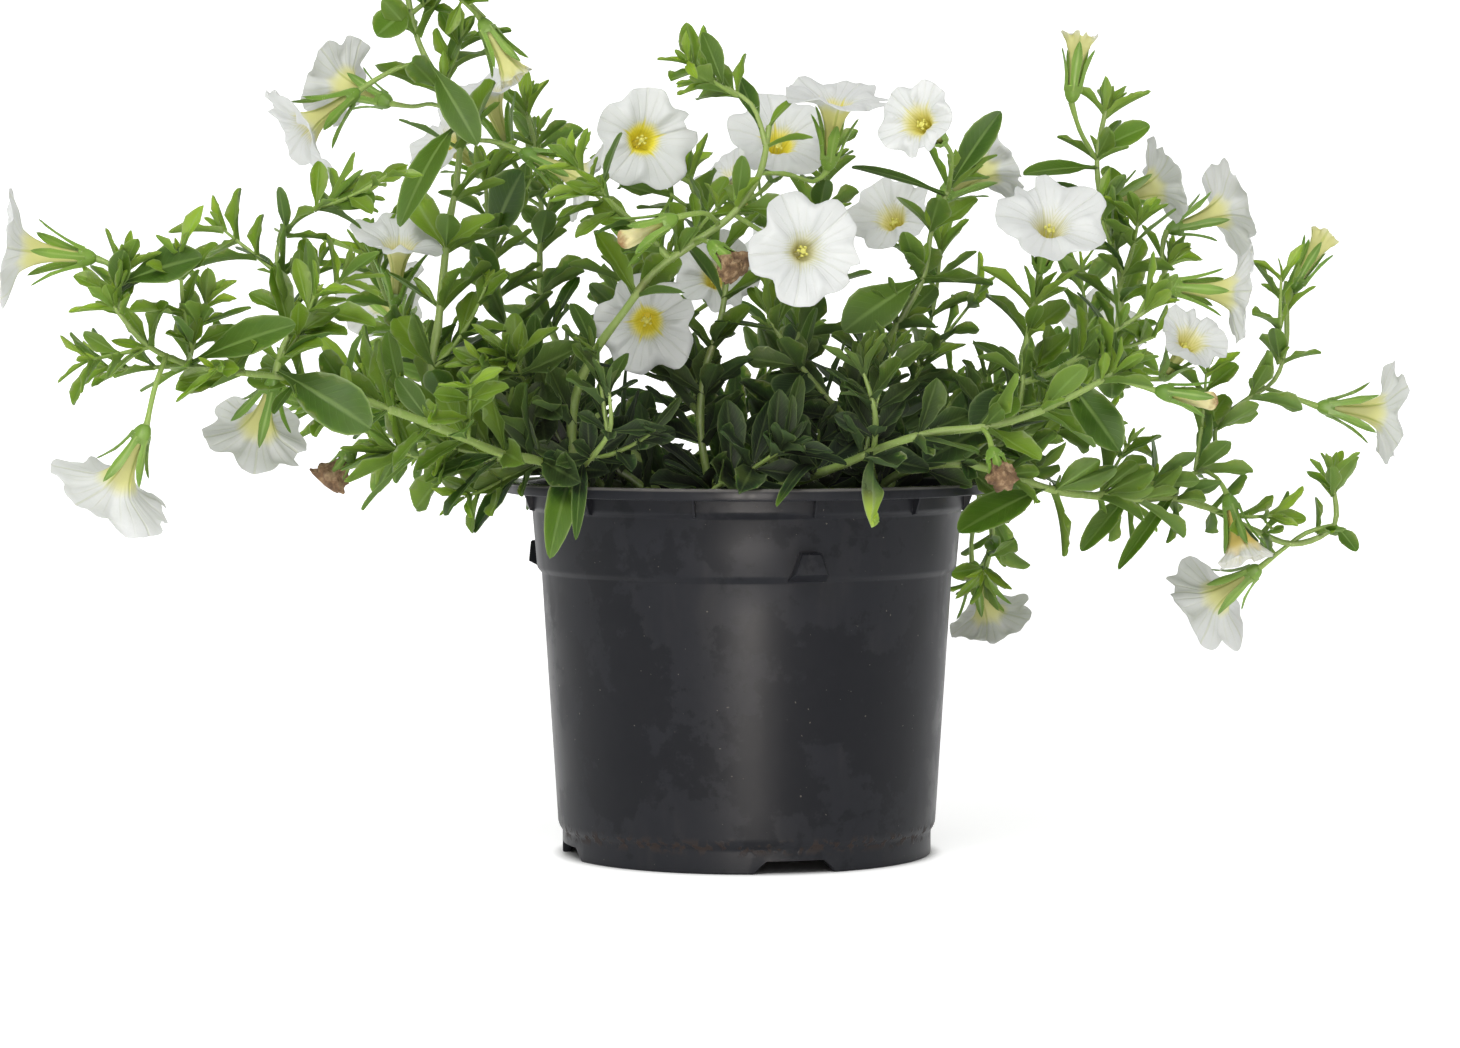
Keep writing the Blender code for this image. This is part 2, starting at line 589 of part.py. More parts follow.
def smooth_points(route, spacing):
    """Points at even distances along a smooth curve through the route's own points."""
    padded = [route[0] * 2 - route[1], *route, route[-1] * 2 - route[-2]]
    dense = []
    steps = 12
    for a, b, c, d in zip(padded, padded[1:], padded[2:], padded[3:]):
        for i in range(steps):
            t = i / steps
            dense.append(0.5 * (2 * b + (c - a) * t + (2 * a - 5 * b + 4 * c - d) * t * t
                                + (3 * b - a - 3 * c + d) * t * t * t))
    dense.append(route[-1].copy())
    return even_points(dense, spacing)


def even_points(line, spacing):
    """Points at even distances along a line of straight runs."""
    run = [0.0]
    for p, q in zip(line, line[1:]):
        run.append(run[-1] + (q - p).length)
    count = max(2, round(run[-1] / spacing))
    points = []
    k = 0
    for i in range(count + 1):
        want = run[-1] * i / count
        while k < len(run) - 2 and run[k + 1] < want:
            k += 1
        share = (want - run[k]) / max(run[k + 1] - run[k], 1e-9)
        points.append(line[k].lerp(line[k + 1], min(max(share, 0.0), 1.0)))
    return points


def tube(points, radii, sides):
    """A closed tube round a path, with pointed ends set just inside its last rings."""
    verts = []
    rings = []
    side = (points[1] - points[0]).orthogonal().normalized()
    for i, point in enumerate(points):
        before = points[max(i - 1, 0)]
        after = points[min(i + 1, len(points) - 1)]
        along = (after - before).normalized()
        side = (side - along * side.dot(along)).normalized()
        other = along.cross(side)
        rings.append(list(range(len(verts), len(verts) + sides)))
        for k in range(sides):
            turn = 2.0 * math.pi * k / sides
            verts.append(point + (side * math.cos(turn) + other * math.sin(turn)) * radii[i])
    faces = skin(rings)
    faces.append(tuple(reversed(rings[0])))
    faces.append(tuple(rings[-1]))
    return verts, faces


def frame_along(axis, luck):
    """A rotation that takes +Z to the axis, with a seeded turn about it."""
    turn = Matrix.Rotation(luck.uniform(0.0, 2.0 * math.pi), 3, "Z")
    return axis.to_track_quat("Z", "Y").to_matrix() @ turn


def bloom_frame(number, bloom):
    luck = random.Random(f"bloom {number}")
    axis = Vector(bloom.facing).normalized()
    long = FLOWER_LONG * flower_share(bloom)
    base = seen(bloom.place) - axis * long * MM
    return base, frame_along(axis, luck), long, luck


def flower_share(bloom):
    """How long a flower is against a full one."""
    if bloom.kind == "open":
        return 0.8 + 0.2 * min(bloom.wide, 29.0) / 29.0
    if bloom.kind == "half_open":
        return 0.85
    return 0.75 if bloom.kind == "wilting" else 0.55


def star(radius, height, count, turn=0.5):
    """Points evenly round the flower's axis; turn 0.5 puts them between the petals' middles."""
    step = 2.0 * math.pi / count
    return [Vector((radius * math.cos((i + turn) * step), radius * math.sin((i + turn) * step),
                    height)) for i in range(count)]


def calyx_mesh(number, bloom, paths):
    """The flower's stalk and its green cup with five sepals, as one closed body."""
    base, frame, long, luck = bloom_frame(number, bloom)
    stalk, rings = stalk_rings(pedicel_points(bloom, base, frame @ UP, paths))
    spread = luck.uniform(0.85, 1.2)
    if bloom.kind != "open":
        spread *= 0.75
    cup = star(CUP_FOOT, CUP_LOW, PETALS) + star(CUP_OUTER, CUP_RIM, PETALS)
    cup += star(CUP_INNER, CUP_RIM, PETALS) + [Vector((0.0, 0.0, CUP_BOTTOM))]
    cup += [p * luck.uniform(0.9, 1.1) for p in star(SEPAL_REACH * spread, SEPAL_TOP, PETALS, 1.0)]
    lower = len(stalk)
    verts = stalk + [base + frame @ (p * MM) for p in cup]
    outer, inner, bottom, tip = lower + 5, lower + 10, lower + 15, lower + 16
    faces = skin(rings) + bridge(verts, rings[-1], list(range(lower, lower + PETALS)))
    for i in range(PETALS):
        j = (i + 1) % PETALS
        faces.append((lower + i, lower + j, outer + j, outer + i))
        faces.append((outer + i, outer + j, tip + i))
        faces.append((inner + j, inner + i, tip + i))
        faces.append((inner + i, outer + i, tip + i))
        faces.append((outer + j, inner + j, tip + i))
        faces.append((bottom, inner + i, inner + j))
    return verts, faces


def stalk_rings(points):
    """A three-sided stalk along a path, which starts as a point inside the stem."""
    verts = [points[0].copy()]
    rings = [[0]]
    side = (points[1] - points[0]).orthogonal().normalized()
    for i in range(1, len(points)):
        after = points[min(i + 1, len(points) - 1)]
        along = (after - points[i - 1]).normalized()
        side = (side - along * side.dot(along)).normalized()
        other = along.cross(side)
        rings.append(list(range(len(verts), len(verts) + 3)))
        for k in range(3):
            turn = 2.0 * math.pi * k / 3
            offset = side * math.cos(turn) + other * math.sin(turn)
            verts.append(points[i] + offset * STALK_RADIUS * MM)
    return verts, rings


def bridge(verts, low, high):
    """Triangles between two rings with different numbers of points."""
    nearest = min(range(len(high)), key=lambda k: (verts[high[k]] - verts[low[0]]).length)
    high = high[nearest:] + high[:nearest]
    faces = []
    i = j = 0
    while i < len(low) or j < len(high):
        here, there = low[i % len(low)], high[j % len(high)]
        if (i + 1) / len(low) < (j + 1) / len(high):
            faces.append((here, low[(i + 1) % len(low)], there))
            i += 1
        else:
            faces.append((here, high[(j + 1) % len(high)], there))
            j += 1
    return faces


def corolla_mesh(number, bloom):
    """The trumpet: a tube that widens to a limb of five shallow lobes, hollow at the mouth."""
    base, frame, long, luck = bloom_frame(number, bloom)
    reach = bloom.wide / 2.0
    if bloom.kind == "open":
        throat = THROAT_RADIUS * bloom.wide / 30.0 + 0.4
    else:
        throat = reach * (0.62 if bloom.kind == "half_open" else 0.8)
    throat_top = long - LIMB_DEPTH.get(bloom.kind, FADED_DEPTH)
    hollow = HOLLOW.get(bloom.kind)
    local = [Vector((0.0, 0.0, TUBE_LOW))] + star(TUBE_FOOT, CUP_RIM, PETALS)
    local += star(throat, throat_top, PETALS)
    foot, neck, edge = 1, 6, 11
    rough = 0.25 if bloom.kind == "withered" else 0.06
    waves = 0.9 if hollow else 0.6
    for i in range(PETALS):
        for turn, share in ((0.5, 0.86), (0.82, 1.0), (1.18, 1.0)):
            radius = reach * share * luck.uniform(1.0 - rough, 1.0 + rough)
            angle = (i + turn) * 2.0 * math.pi / PETALS
            rise = long + luck.uniform(-waves, waves) - (0.4 if share < 1.0 else 0.0)
            local.append(Vector((radius * math.cos(angle), radius * math.sin(angle), rise)))
    faces = []
    for i in range(PETALS):
        j = (i + 1) % PETALS
        faces.append((0, foot + j, foot + i))
        faces.append((foot + i, foot + j, neck + j, neck + i))
        notch, left, right, after = (edge + (3 * i + k) % 15 for k in range(4))
        faces += limb_faces(neck + i, neck + j, notch, left, right, after)
    if hollow is None:
        tip = len(local)
        local.append(Vector((0.0, 0.0, long + 0.6)))
        for i in range(15):
            faces.append((edge + i, edge + (i + 1) % 15, tip))
    else:
        inner = len(local)
        local += star(throat - 0.55, throat_top + PETAL_SKIN, PETALS)
        bottom = len(local)
        local.append(Vector((0.0, 0.0, hollow)))
        for i in range(PETALS):
            j = (i + 1) % PETALS
            notch, left, right, after = (edge + (3 * i + k) % 15 for k in range(4))
            sheet = limb_faces(inner + i, inner + j, notch, left, right, after)
            faces += [tuple(reversed(face)) for face in sheet]
            faces.append((bottom, inner + i, inner + j))
    return [base + frame @ (p * MM) for p in local], faces


def limb_faces(low, high, notch, left, right, after):
    """One petal's share of the limb, split alike on both of its sides."""
    return [(low, left, notch), (low, high, left), (high, right, left), (high, after, right)]


def pedicel_points(bloom, base, axis, paths):
    """The flower's own stalk, from the nearest good place on the stem that carries it."""
    aim = base - axis * 12.0 * MM - UP * 3.0 * MM
    start, along = nearest_on(paths, aim)
    span = (base - start).length
    leave = (along * 0.4 + (base - start).normalized() * 0.8).normalized() * span
    arrive = axis * span
    points = []
    count = max(2, round(span / (8.0 * MM)))
    end = base - axis * 0.9 * MM
    for i in range(count + 1):
        t = i / count
        points.append((2 * t**3 - 3 * t**2 + 1) * start + (t**3 - 2 * t**2 + t) * leave
                      + (3 * t**2 - 2 * t**3) * end + (t**3 - t**2) * arrive)
    return points


def nearest_on(paths, aim):
    """The nearest point of some paths, with the direction of growth there."""
    best = None
    for path in paths:
        for p, q in zip(path, path[1:]):
            if q.z < (SOIL_TOP + 6.0) * MM:
                continue
            span = q - p
            most = 1.0 - TIP_KEPT * MM / span.length if q is path[-1] else 1.0
            share = min(max((aim - p).dot(span) / span.length_squared, 0.0), most)
            point = p + span * share
            away = (point - aim).length
            if best is None or away < best[0]:
                best = (away, point, span.normalized())
    return best[1], best[2]


def blade_mesh(leaf, extra=0.0):
    """A leaf: a folded blade that bends along its length and thins from its keel to its tip.

    It starts as a point inside the stem. extra makes it fatter all round.
    """
    stations = LONG_STATIONS if leaf.long > SHORT_LEAF * MM else SHORT_STATIONS
    across = leaf.face.cross(leaf.axis)
    verts = [leaf.root.copy()]
    rings = [[0]]
    for share, width, keel in stations:
        spine = leaf.root + leaf.long * (share * leaf.axis + leaf.bend * share * share * leaf.face)
        face = (leaf.face - 2.0 * leaf.bend * share * leaf.axis).normalized()
        half = leaf.wide / 2 * width + extra
        rise = face * BLADE_FOLD * half
        rings.append(list(range(len(verts), len(verts) + 4)))
        verts += [spine + across * half + rise, spine + face * (BLADE_TOP * MM + extra),
                  spine - across * half + rise, spine - face * (keel * MM + extra)]
    rings.append([len(verts)])
    verts.append(leaf.root + (leaf.long + extra) * (leaf.axis + leaf.bend * leaf.face))
    return verts, skin(rings)


def leaf_towards(root, axis, hint, long, wide, bend):
    axis = axis.normalized()
    face = (hint - axis * hint.dot(axis)).normalized()
    return Leaf(root, axis, face, long, wide, bend)


def leaf_reaching(root, tip, wide, bend):
    """A leaf that starts at its root and, bent, ends at its tip."""
    chord = tip - root
    hint = Vector((0.0, -0.75, 0.65))
    level = chord.normalized()
    lifted = (hint - level * hint.dot(level)).normalized()
    lean = math.atan(-bend)
    axis = level * math.cos(lean) + lifted * math.sin(lean)
    face = lifted * math.cos(lean) - level * math.sin(lean)
    return Leaf(root, axis, face, chord.length * math.cos(lean), wide, bend)


def slot_leaves(luck, point, along, turn, long, tuft, thick):
    """The shapes that a leaf may take at one place, best first."""
    side = (along.orthogonal() if abs(along.z) > 0.95 else along.cross(UP)).normalized()
    choices = []
    for i in range(TRIES):
        angle = turn + i * GOLDEN_TURN * 0.62 + luck.uniform(-0.3, 0.3)
        radial = side * math.cos(angle) + along.cross(side) * math.sin(angle)
        lean = luck.uniform(0.35, 0.75) if tuft else luck.uniform(0.7, 1.25)
        axis = along * math.cos(lean) + radial * math.sin(lean) + UP * luck.uniform(0.0, 0.3)
        hint = along * 0.6 + UP * 0.7 + radial * luck.uniform(-0.2, 0.2)
        length = long * luck.uniform(0.8, 1.12) * (1.0 - 0.05 * i)
        wide = length * luck.uniform(0.27, 0.36)
        bend = luck.uniform(-0.28, 0.06)
        root = point - radial * thick * ROOT_DEPTH * MM
        choices.append(leaf_towards(root, axis, hint, length * MM, wide * MM, bend))
    return choices


def branch_slots(name, number, branch, path):
    """Each place for a leaf along a branch, with its possible shapes."""
    fine = even_points(path, 1.0 * MM)
    low = (SOIL_TOP + 6.0) * MM
    start = next((i for i, p in enumerate(fine) if p.z > low), 0)
    start += 4 if number else 2
    slots = []
    index = start
    count = 0
    while index < len(fine) - 3:
        share = (index - start) / max(len(fine) - start, 1)
        long = branch.long[0] + (branch.long[1] - branch.long[0]) * share
        luck = random.Random(f"{name} {number} {count}")
        along = (fine[index + 1] - fine[index - 1]).normalized()
        thick = branch.thick * (1.0 - 0.5 * index / len(fine))
        turn = count * GOLDEN_TURN
        slots.append(slot_leaves(luck, fine[index], along, turn, long, False, thick))
        index += max(3, round(branch.every * luck.uniform(1.15, 1.65)))
        count += 1
    end = fine[-1] - (fine[-1] - fine[-3]).normalized() * 1.2 * MM
    along = (fine[-1] - fine[-4]).normalized()
    for i in range(branch.tuft):
        luck = random.Random(f"{name} {number} tuft {i}")
        long = branch.long[1] * 0.85
        slots.append(slot_leaves(luck, end, along, i * GOLDEN_TURN, long, True, branch.thick / 2))
    return slots


class Garden:
    """What has grown so far, so that a new leaf can be kept clear of it."""

    def __init__(self):
        self.grown = []

    def add(self, owner, verts, faces):
        low = Vector([min(v[k] for v in verts) for k in range(3)])
        high = Vector([max(v[k] for v in verts) for k in range(3)])
        tree = BVHTree.FromPolygons([tuple(v) for v in verts], faces)
        self.grown.append((owner, low, high, tree))

    def is_clear(self, verts, faces, skip):
        """Whether a shape touches nothing that grows, apart from what the skipped stem holds."""
        low = Vector([min(v[k] for v in verts) for k in range(3)])
        high = Vector([max(v[k] for v in verts) for k in range(3)])
        tree = None
        for owner, other_low, other_high, other in self.grown:
            if owner.startswith(skip):
                continue
            if any(low[k] > other_high[k] or high[k] < other_low[k] for k in range(3)):
                continue
            tree = tree or BVHTree.FromPolygons([tuple(v) for v in verts], faces)
            if tree.overlap(other):
                return False
        return True


def grow_plant():
    """Every stem's pieces and every flower, with the leaves that find room."""
    garden = Garden()
    paths = {}
    pieces = {name: [] for name in STEMS}
    for name, branches in STEMS.items():
        paths[name] = []
        for number, branch in enumerate(branches):
            spacing = 13.0 if number == 0 else 11.0
            path = branch_path(number, branch, spacing * MM, paths[name])
            radii = [branch.thick * MM * (1.0 - 0.5 * i / (len(path) - 1)) for i in range(len(path))]
            shape = tube(path, radii, STEM_SIDES)
            paths[name].append(path)
            pieces[name].append(shape)
            garden.add(f"{name} {number}", *shape)
    flowers = []
    for number, bloom in enumerate(BLOOMS, start=1):
        calyx = calyx_mesh(number, bloom, paths[bloom.stem])
        corolla = corolla_mesh(number, bloom)
        pieces[bloom.stem].append(calyx)
        flowers.append((f"bloom_{number:02d}", bloom, corolla))
        garden.add(f"{bloom.stem} calyx {number}", *calyx)
        garden.add(f"bloom {number}", *corolla)
    return garden, paths, pieces, flowers


def grow_leaves(garden, paths, pieces):
    """The leaves that find room: those that the front view shows, then the others in order."""
    for name, root, tip, wide, bend in FRONT_LEAVES:
        start = nearest_on(paths[name], seen(root))[0]
        leaf = leaf_reaching(start, seen(tip), wide * MM, bend)
        add_leaf(garden, pieces[name], [leaf], name)
    for name, branches in STEMS.items():
        for number, branch in enumerate(branches):
            for choices in branch_slots(name, number, branch, paths[name][number]):
                add_leaf(garden, pieces[name], choices, f"{name} {number}")


def add_leaf(garden, pieces, choices, skip):
    """Grows the first of some leaves that stays clear of what has grown."""
    for leaf in choices:
        if garden.is_clear(*blade_mesh(leaf, CLEARANCE * MM), skip):
            shape = blade_mesh(leaf)
            garden.add("leaf", *shape)
            pieces.append(shape)
            return


def join_stem(name, shapes, material):
    """One leafy stem as one closed body; its pieces move by a hair until their seams close."""
    for hair, solver in itertools.product(range(HAIRS), ("EXACT", "MANIFOLD")):
        luck = random.Random(f"{name} {hair}")
        parts = []
        for verts, faces in shapes:
            shift = Vector([luck.uniform(-1.0, 1.0) for _ in range(3)]) * hair * HAIR * MM
            parts.append(make_object(name if not parts else "piece",
                                     [v + shift for v in verts], faces))
        stem = parts[0]
        combine(stem, parts[1:], "UNION", solver)
        clean_joins(stem)
        if is_one_body(stem.data):
            stem.data.materials.clear()
            stem.data.materials.append(material)
            return stem
        bpy.data.objects.remove(stem)
    raise RuntimeError(f"{name} doesn't join into one closed body")


def is_one_body(mesh):
    """Whether a mesh is one closed body that touches itself nowhere."""
    form = bmesh.new()
    form.from_mesh(mesh)
    whole = (len(form.faces) > 0 and all(edge.is_manifold for edge in form.edges)
             and all(vert.is_manifold for vert in form.verts))
    if whole:
        reached = {form.faces[:][0]}
        front = list(reached)
        while front:
            for edge in front.pop().edges:
                for face in edge.link_faces:
                    if face not in reached:
                        reached.add(face)
                        front.append(face)
        whole = len(reached) == len(form.faces)
    form.free()
    return whole


def build():
    for obj in list(bpy.data.objects):
        bpy.data.objects.remove(obj)
    materials = {name: make_material(name) for name in COLOURS}
    feet = [(route_of(0, branches[0])[0], branches[0].thick) for branches in STEMS.values()]
    pot = make_pot(materials["pot_plastic"])
    soil = make_soil(materials["potting_soil"], feet)
    garden, paths, pieces, flowers = grow_plant()
    for obj in (pot, soil):
        garden.add(obj.name, [v.co.copy() for v in obj.data.vertices],
                   [tuple(f.vertices) for f in obj.data.polygons])
    grow_leaves(garden, paths, pieces)
    for name, shapes in pieces.items():
        join_stem(f"stem_{name}", shapes, materials["leaf_green"])
    for name, bloom, shape in flowers:
        make_object(name, *shape, materials[BLOOM_COLOURS[bloom.kind]])


if __name__ == "__main__":
    build()
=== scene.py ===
"""The looks of a calibrachoa in its nursery pot: its white trumpets, leafy stems, soil and pot.

The pot stands on z = 0 with its axis on the world's Z, and the plant's front faces -Y.
Places on the plant are in millimetres as (across, depth, up) on a front view that is drawn at
the pot's axis, and seen() moves each along the line of sight to its depth.
"""

import json
import math
import random
from collections import namedtuple
from itertools import accumulate

import bpy
from mathutils import Matrix, Vector, noise
from mathutils.kdtree import KDTree

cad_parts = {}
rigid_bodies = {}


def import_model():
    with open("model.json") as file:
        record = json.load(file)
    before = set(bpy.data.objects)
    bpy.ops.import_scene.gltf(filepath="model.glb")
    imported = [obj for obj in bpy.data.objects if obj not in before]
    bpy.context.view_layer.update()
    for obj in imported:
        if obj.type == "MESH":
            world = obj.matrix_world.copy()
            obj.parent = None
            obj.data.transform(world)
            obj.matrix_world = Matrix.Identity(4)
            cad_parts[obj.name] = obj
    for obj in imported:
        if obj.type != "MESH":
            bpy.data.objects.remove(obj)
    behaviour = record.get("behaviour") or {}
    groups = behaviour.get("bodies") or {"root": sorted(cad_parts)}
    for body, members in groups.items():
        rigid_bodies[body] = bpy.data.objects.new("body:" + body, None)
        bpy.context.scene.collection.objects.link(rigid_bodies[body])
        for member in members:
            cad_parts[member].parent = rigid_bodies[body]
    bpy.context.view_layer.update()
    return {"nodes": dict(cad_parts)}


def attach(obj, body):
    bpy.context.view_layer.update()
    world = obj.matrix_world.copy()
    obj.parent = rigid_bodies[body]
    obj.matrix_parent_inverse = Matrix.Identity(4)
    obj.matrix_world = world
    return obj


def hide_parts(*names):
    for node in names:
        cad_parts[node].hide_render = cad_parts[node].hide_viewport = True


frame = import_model()
NODES = frame["nodes"]

MM = 0.001
UP = Vector((0.0, 0.0, 1.0))
WHITE = (1.0, 1.0, 1.0)
BLACK = (0.0, 0.0, 0.0)

# The front view's eye, which is also the camera's place
EYE_DISTANCE = 1120.0
EYE_HEIGHT = 140.0
CAMERA_DOWN = 2.64
CAMERA_LEFT = 0.23
CAMERA_LENS = 102.8

# Pot, outer sizes in millimetres
RIM_RADIUS = 65.0
RIM_TOP = 100.1
RIM_THICK = 3.0
COLLAR_RADIUS = 59.3
COLLAR_HEIGHT = 4.9
COLLAR_CHAMFER = 1.3
UPPER_RADIUS = 57.6
STEP_HEIGHT = 77.0
STEP_RADIUS = 56.3
STEP_DEPTH = 1.2
STEP_DROP = 1.4
WALL = 1.4
FOOT_RADIUS = 49.6
FOOT_HEIGHT = 6.4
LOWER_RADIUS = 50.8
FOOT_WALL = 2.2
FLOOR_UNDER = 3.6
FLOOR_TOP = 5.2
LUG_ANGLES = (16.2, 136.2, -103.8)
LUG_SIZE = (10.4, 5.2, 7.5)
LUG_RADIUS = 59.9
LUG_DROP = 1.1
LUG_CHAMFER = 2.0
LUG_FOOT_PROUD = 0.2
LUG_SUNK = 0.7
LUG_WORN = 0.35
NOTCH_TURN = 15.0
NOTCH_COUNT = 4
NOTCH_WIDTH = 21.5
NOTCH_HEIGHT = 3.4
NOTCH_SLOPE = 2.2
RIB_COUNT = 12
RIB_TURN = -13.0
RIB_HALF = 0.3
POT_COLUMNS = 180

# Soil, and the foot of each stem: its depth in the soil, and how far above it stays straight
# and bare
SOIL_TOP = 90.0
CRUMBS = 1500
FOOT_DEPTH = 9.0
FOOT_STRAIGHT = 2.5
BARE_FOOT = 6.0

# Flower, along its own axis from the base of the calyx. KIND_SHARES says how long the ones that
# aren't open are against a full one.
FLOWER_LONG = 20.0
FULL_WIDE = 29.0
KIND_SHARES = {"half_open": 0.85, "wilting": 0.75, "withered": 0.55}
SEPAL_REACH = 5.8
SEPAL_TOP = 11.0
THROAT_RADIUS = 4.4
THROAT_DEPTHS = {"open": 3.6, "half_open": 3.0}
PETALS = 5
PETAL_COLUMNS = 14
PETAL_THICK = 0.3
# A flower's own stalk: how far it keeps from the tip of the stem, the place behind and below the
# flower that it comes from, the spacing of its points, how far under the flower it ends, and its
# radius, also at its top
TIP_KEPT = 2.5
PEDICEL_BACK = 12.0
PEDICEL_DROP = 3.0
PEDICEL_SPACING = 8.0
PEDICEL_SHORT = 0.9
PEDICEL_RADIUS = 0.62
PEDICEL_TOP = 0.85

# The spacing of points along the first branch of a stem and along the others
FIRST_SPACING = 13.0
SIDE_SPACING = 11.0

# Leaves: ranges of the lean off the stem in radians, of the width against the length, and of the
# bend; the depth of the root in the stem as a share of its radius; the shapes that are tried
LEAF_LEAN = (0.7, 1.25)
TUFT_LEAN = (0.35, 0.75)
LEAF_WIDE = (0.27, 0.36)
SMALL_WIDE = (0.36, 0.47)
YOUNG_WIDE = (0.26, 0.34)
LEAF_BEND = (-0.28, 0.06)
ROOT_DEPTH = 0.4
TRIES = 7
GOLDEN_TURN = math.radians(137.5)
LEAF_THICK = 0.32
LEAF_SPREAD = 1.14
# How near to a packed leaf's tip a shape has to end to be that leaf
TIP_SEEN = 0.2
# Along the length: share of the way, and the width there as a share of the greatest
LEAF_OUTLINE = ((0.0, 0.10), (0.09, 0.12), (0.20, 0.26), (0.33, 0.62), (0.47, 0.90), (0.61, 1.0),
                (0.75, 0.93), (0.87, 0.70), (0.95, 0.42), (0.985, 0.22))
LEAF_RIBS = (-1.0, -0.62, -0.16, 0.0, 0.16, 0.62, 1.0)
SMALL_OUTLINE = ((0.0, 0.14), (0.16, 0.24), (0.33, 0.64), (0.50, 0.95), (0.66, 1.0), (0.81, 0.80),
                 (0.92, 0.50), (0.98, 0.22))
YOUNG_OUTLINE = ((0.0, 0.20), (0.18, 0.40), (0.36, 0.78), (0.52, 0.97), (0.68, 0.92), (0.82, 0.68),
                 (0.93, 0.36))
SMALL_RIBS = (-1.0, -0.45, 0.0, 0.45, 1.0)
SMALL_KINDS = 6
# The youth from which a small leaf is narrow, the youth of a branch's end, the number of small
# leaves there and in an armpit, and how often a side shoot grows
YOUNG_FROM = 0.5
TUFT_YOUNG = 0.85
SHEAF = 9
TUFT_COUNTS = (1, 2, 3)
SPRIG_SHARE = 0.3
SPRIG_LONG = (14.0, 24.0)
SPRIG_LEAF = (12.0, 18.0)
SPRIG_RADII = (0.62, 0.58, 0.52, 0.46, 0.36)
SMALL_OUTWARD = 0.75
# Front leaves that are twisted, by their tips: the twist, the youth, and the roll of the tip
TWISTED = {(34, -72, 83): (5.2, 0.9, 4.4), (8, -78, 93): (0.8, 0.6, 0.0)}
ROLL_FROM = 0.84
# How squarely a flower has to face the front view, and the share of it that is then kept clear
FACING_FRONT = 0.5
FLOWER_CLEAR = 0.85
# How far leaves keep outside the rim and inside the wall
RIM_GAP = 1.2
WALL_GAP = 2.2

# Calyx and corolla, along the flower's axis
CUP_PROFILE = ((0.0, -1.2), (0.8, -1.0), (1.55, -0.1), (2.0, 0.9), (2.3, 2.2), (2.5, 3.3),
               (2.3, 3.5), (2.05, 3.3), (1.85, 2.2), (0.0, 1.5))
SEPAL_OUTLINE = ((0.0, 0.9), (0.18, 0.72), (0.4, 0.85), (0.6, 1.0), (0.8, 0.72), (0.93, 0.35))
SEPAL_RIBS = (-1.0, -0.5, 0.0, 0.5, 1.0)
TUBE_LOW = 2.2
TUBE_RADIUS = 1.3
TUBE_ROWS = (0.0, 0.07, 0.2, 0.36, 0.54, 0.7, 0.82, 0.92)
LIMB_ROWS = (0.0, 0.06, 0.14, 0.24, 0.35, 0.47, 0.58, 0.69, 0.79, 0.88, 0.95, 1.0)
FADED_ROWS = (0.0, 0.05, 0.12, 0.2, 0.29, 0.38, 0.47, 0.56, 0.65, 0.73, 0.8, 0.86, 0.91, 0.96, 1.0)
FADED_COLUMNS = 40
ANTHER_PROFILE = ((0.0, -1.0), (0.8, -0.55), (1.0, 0.1), (0.7, 0.75), (0.0, 1.0))
ANTHER_AWAY = 1.15
ANTHER_DEPTH = (4.6, 5.6)
ANTHER_SIZE = (0.5, 0.38, 0.62)
STIGMA_SIZE = (0.75, 0.75, 0.4)
THREAD_PROFILE = ((0.0, -6.0), (0.16, -6.0), (0.13, -0.2), (0.0, 0.0))
GOLD_TUBES = (26,)
HAIR_DENSITY = 260000.0
HAIR_LONG = 0.8
SEPAL_STRETCH = 1.28
SEPAL_WIDE = (2.3, 3.1)
SEPAL_BEND = (-0.26, -0.08)
SEPAL_THICK = 0.22
GREEN_TISSUE = {"IOR": 1.4, "Subsurface_Weight": 0.2, "Subsurface_Scale": 0.0015,
                "Subsurface_Radius": (0.7, 1.0, 0.3)}

# The floor and backdrop in metres, and lamp powers in watts
STAGE_REACH = 5.0
BACKDROP_ROUND = 0.9
BACKDROP_TOP = 3.4
WORLD_LIGHT = 0.42
FLOOR_GLOW = 0.8
KEY_LIGHT = 13.5
FRONT_LIGHT = 24.0
STRIP_LIGHT = 0.5

Branch = namedtuple("Branch", "route thick every long tuft", defaults=(1.3, 10.0, (22.0, 13.0), 5))
Bloom = namedtuple("Bloom", "stem place facing wide kind", defaults=("open",))
Leaf = namedtuple("Leaf", "root axis face long wide bend")
Slot = namedtuple("Slot", "point along young long thick shapes")

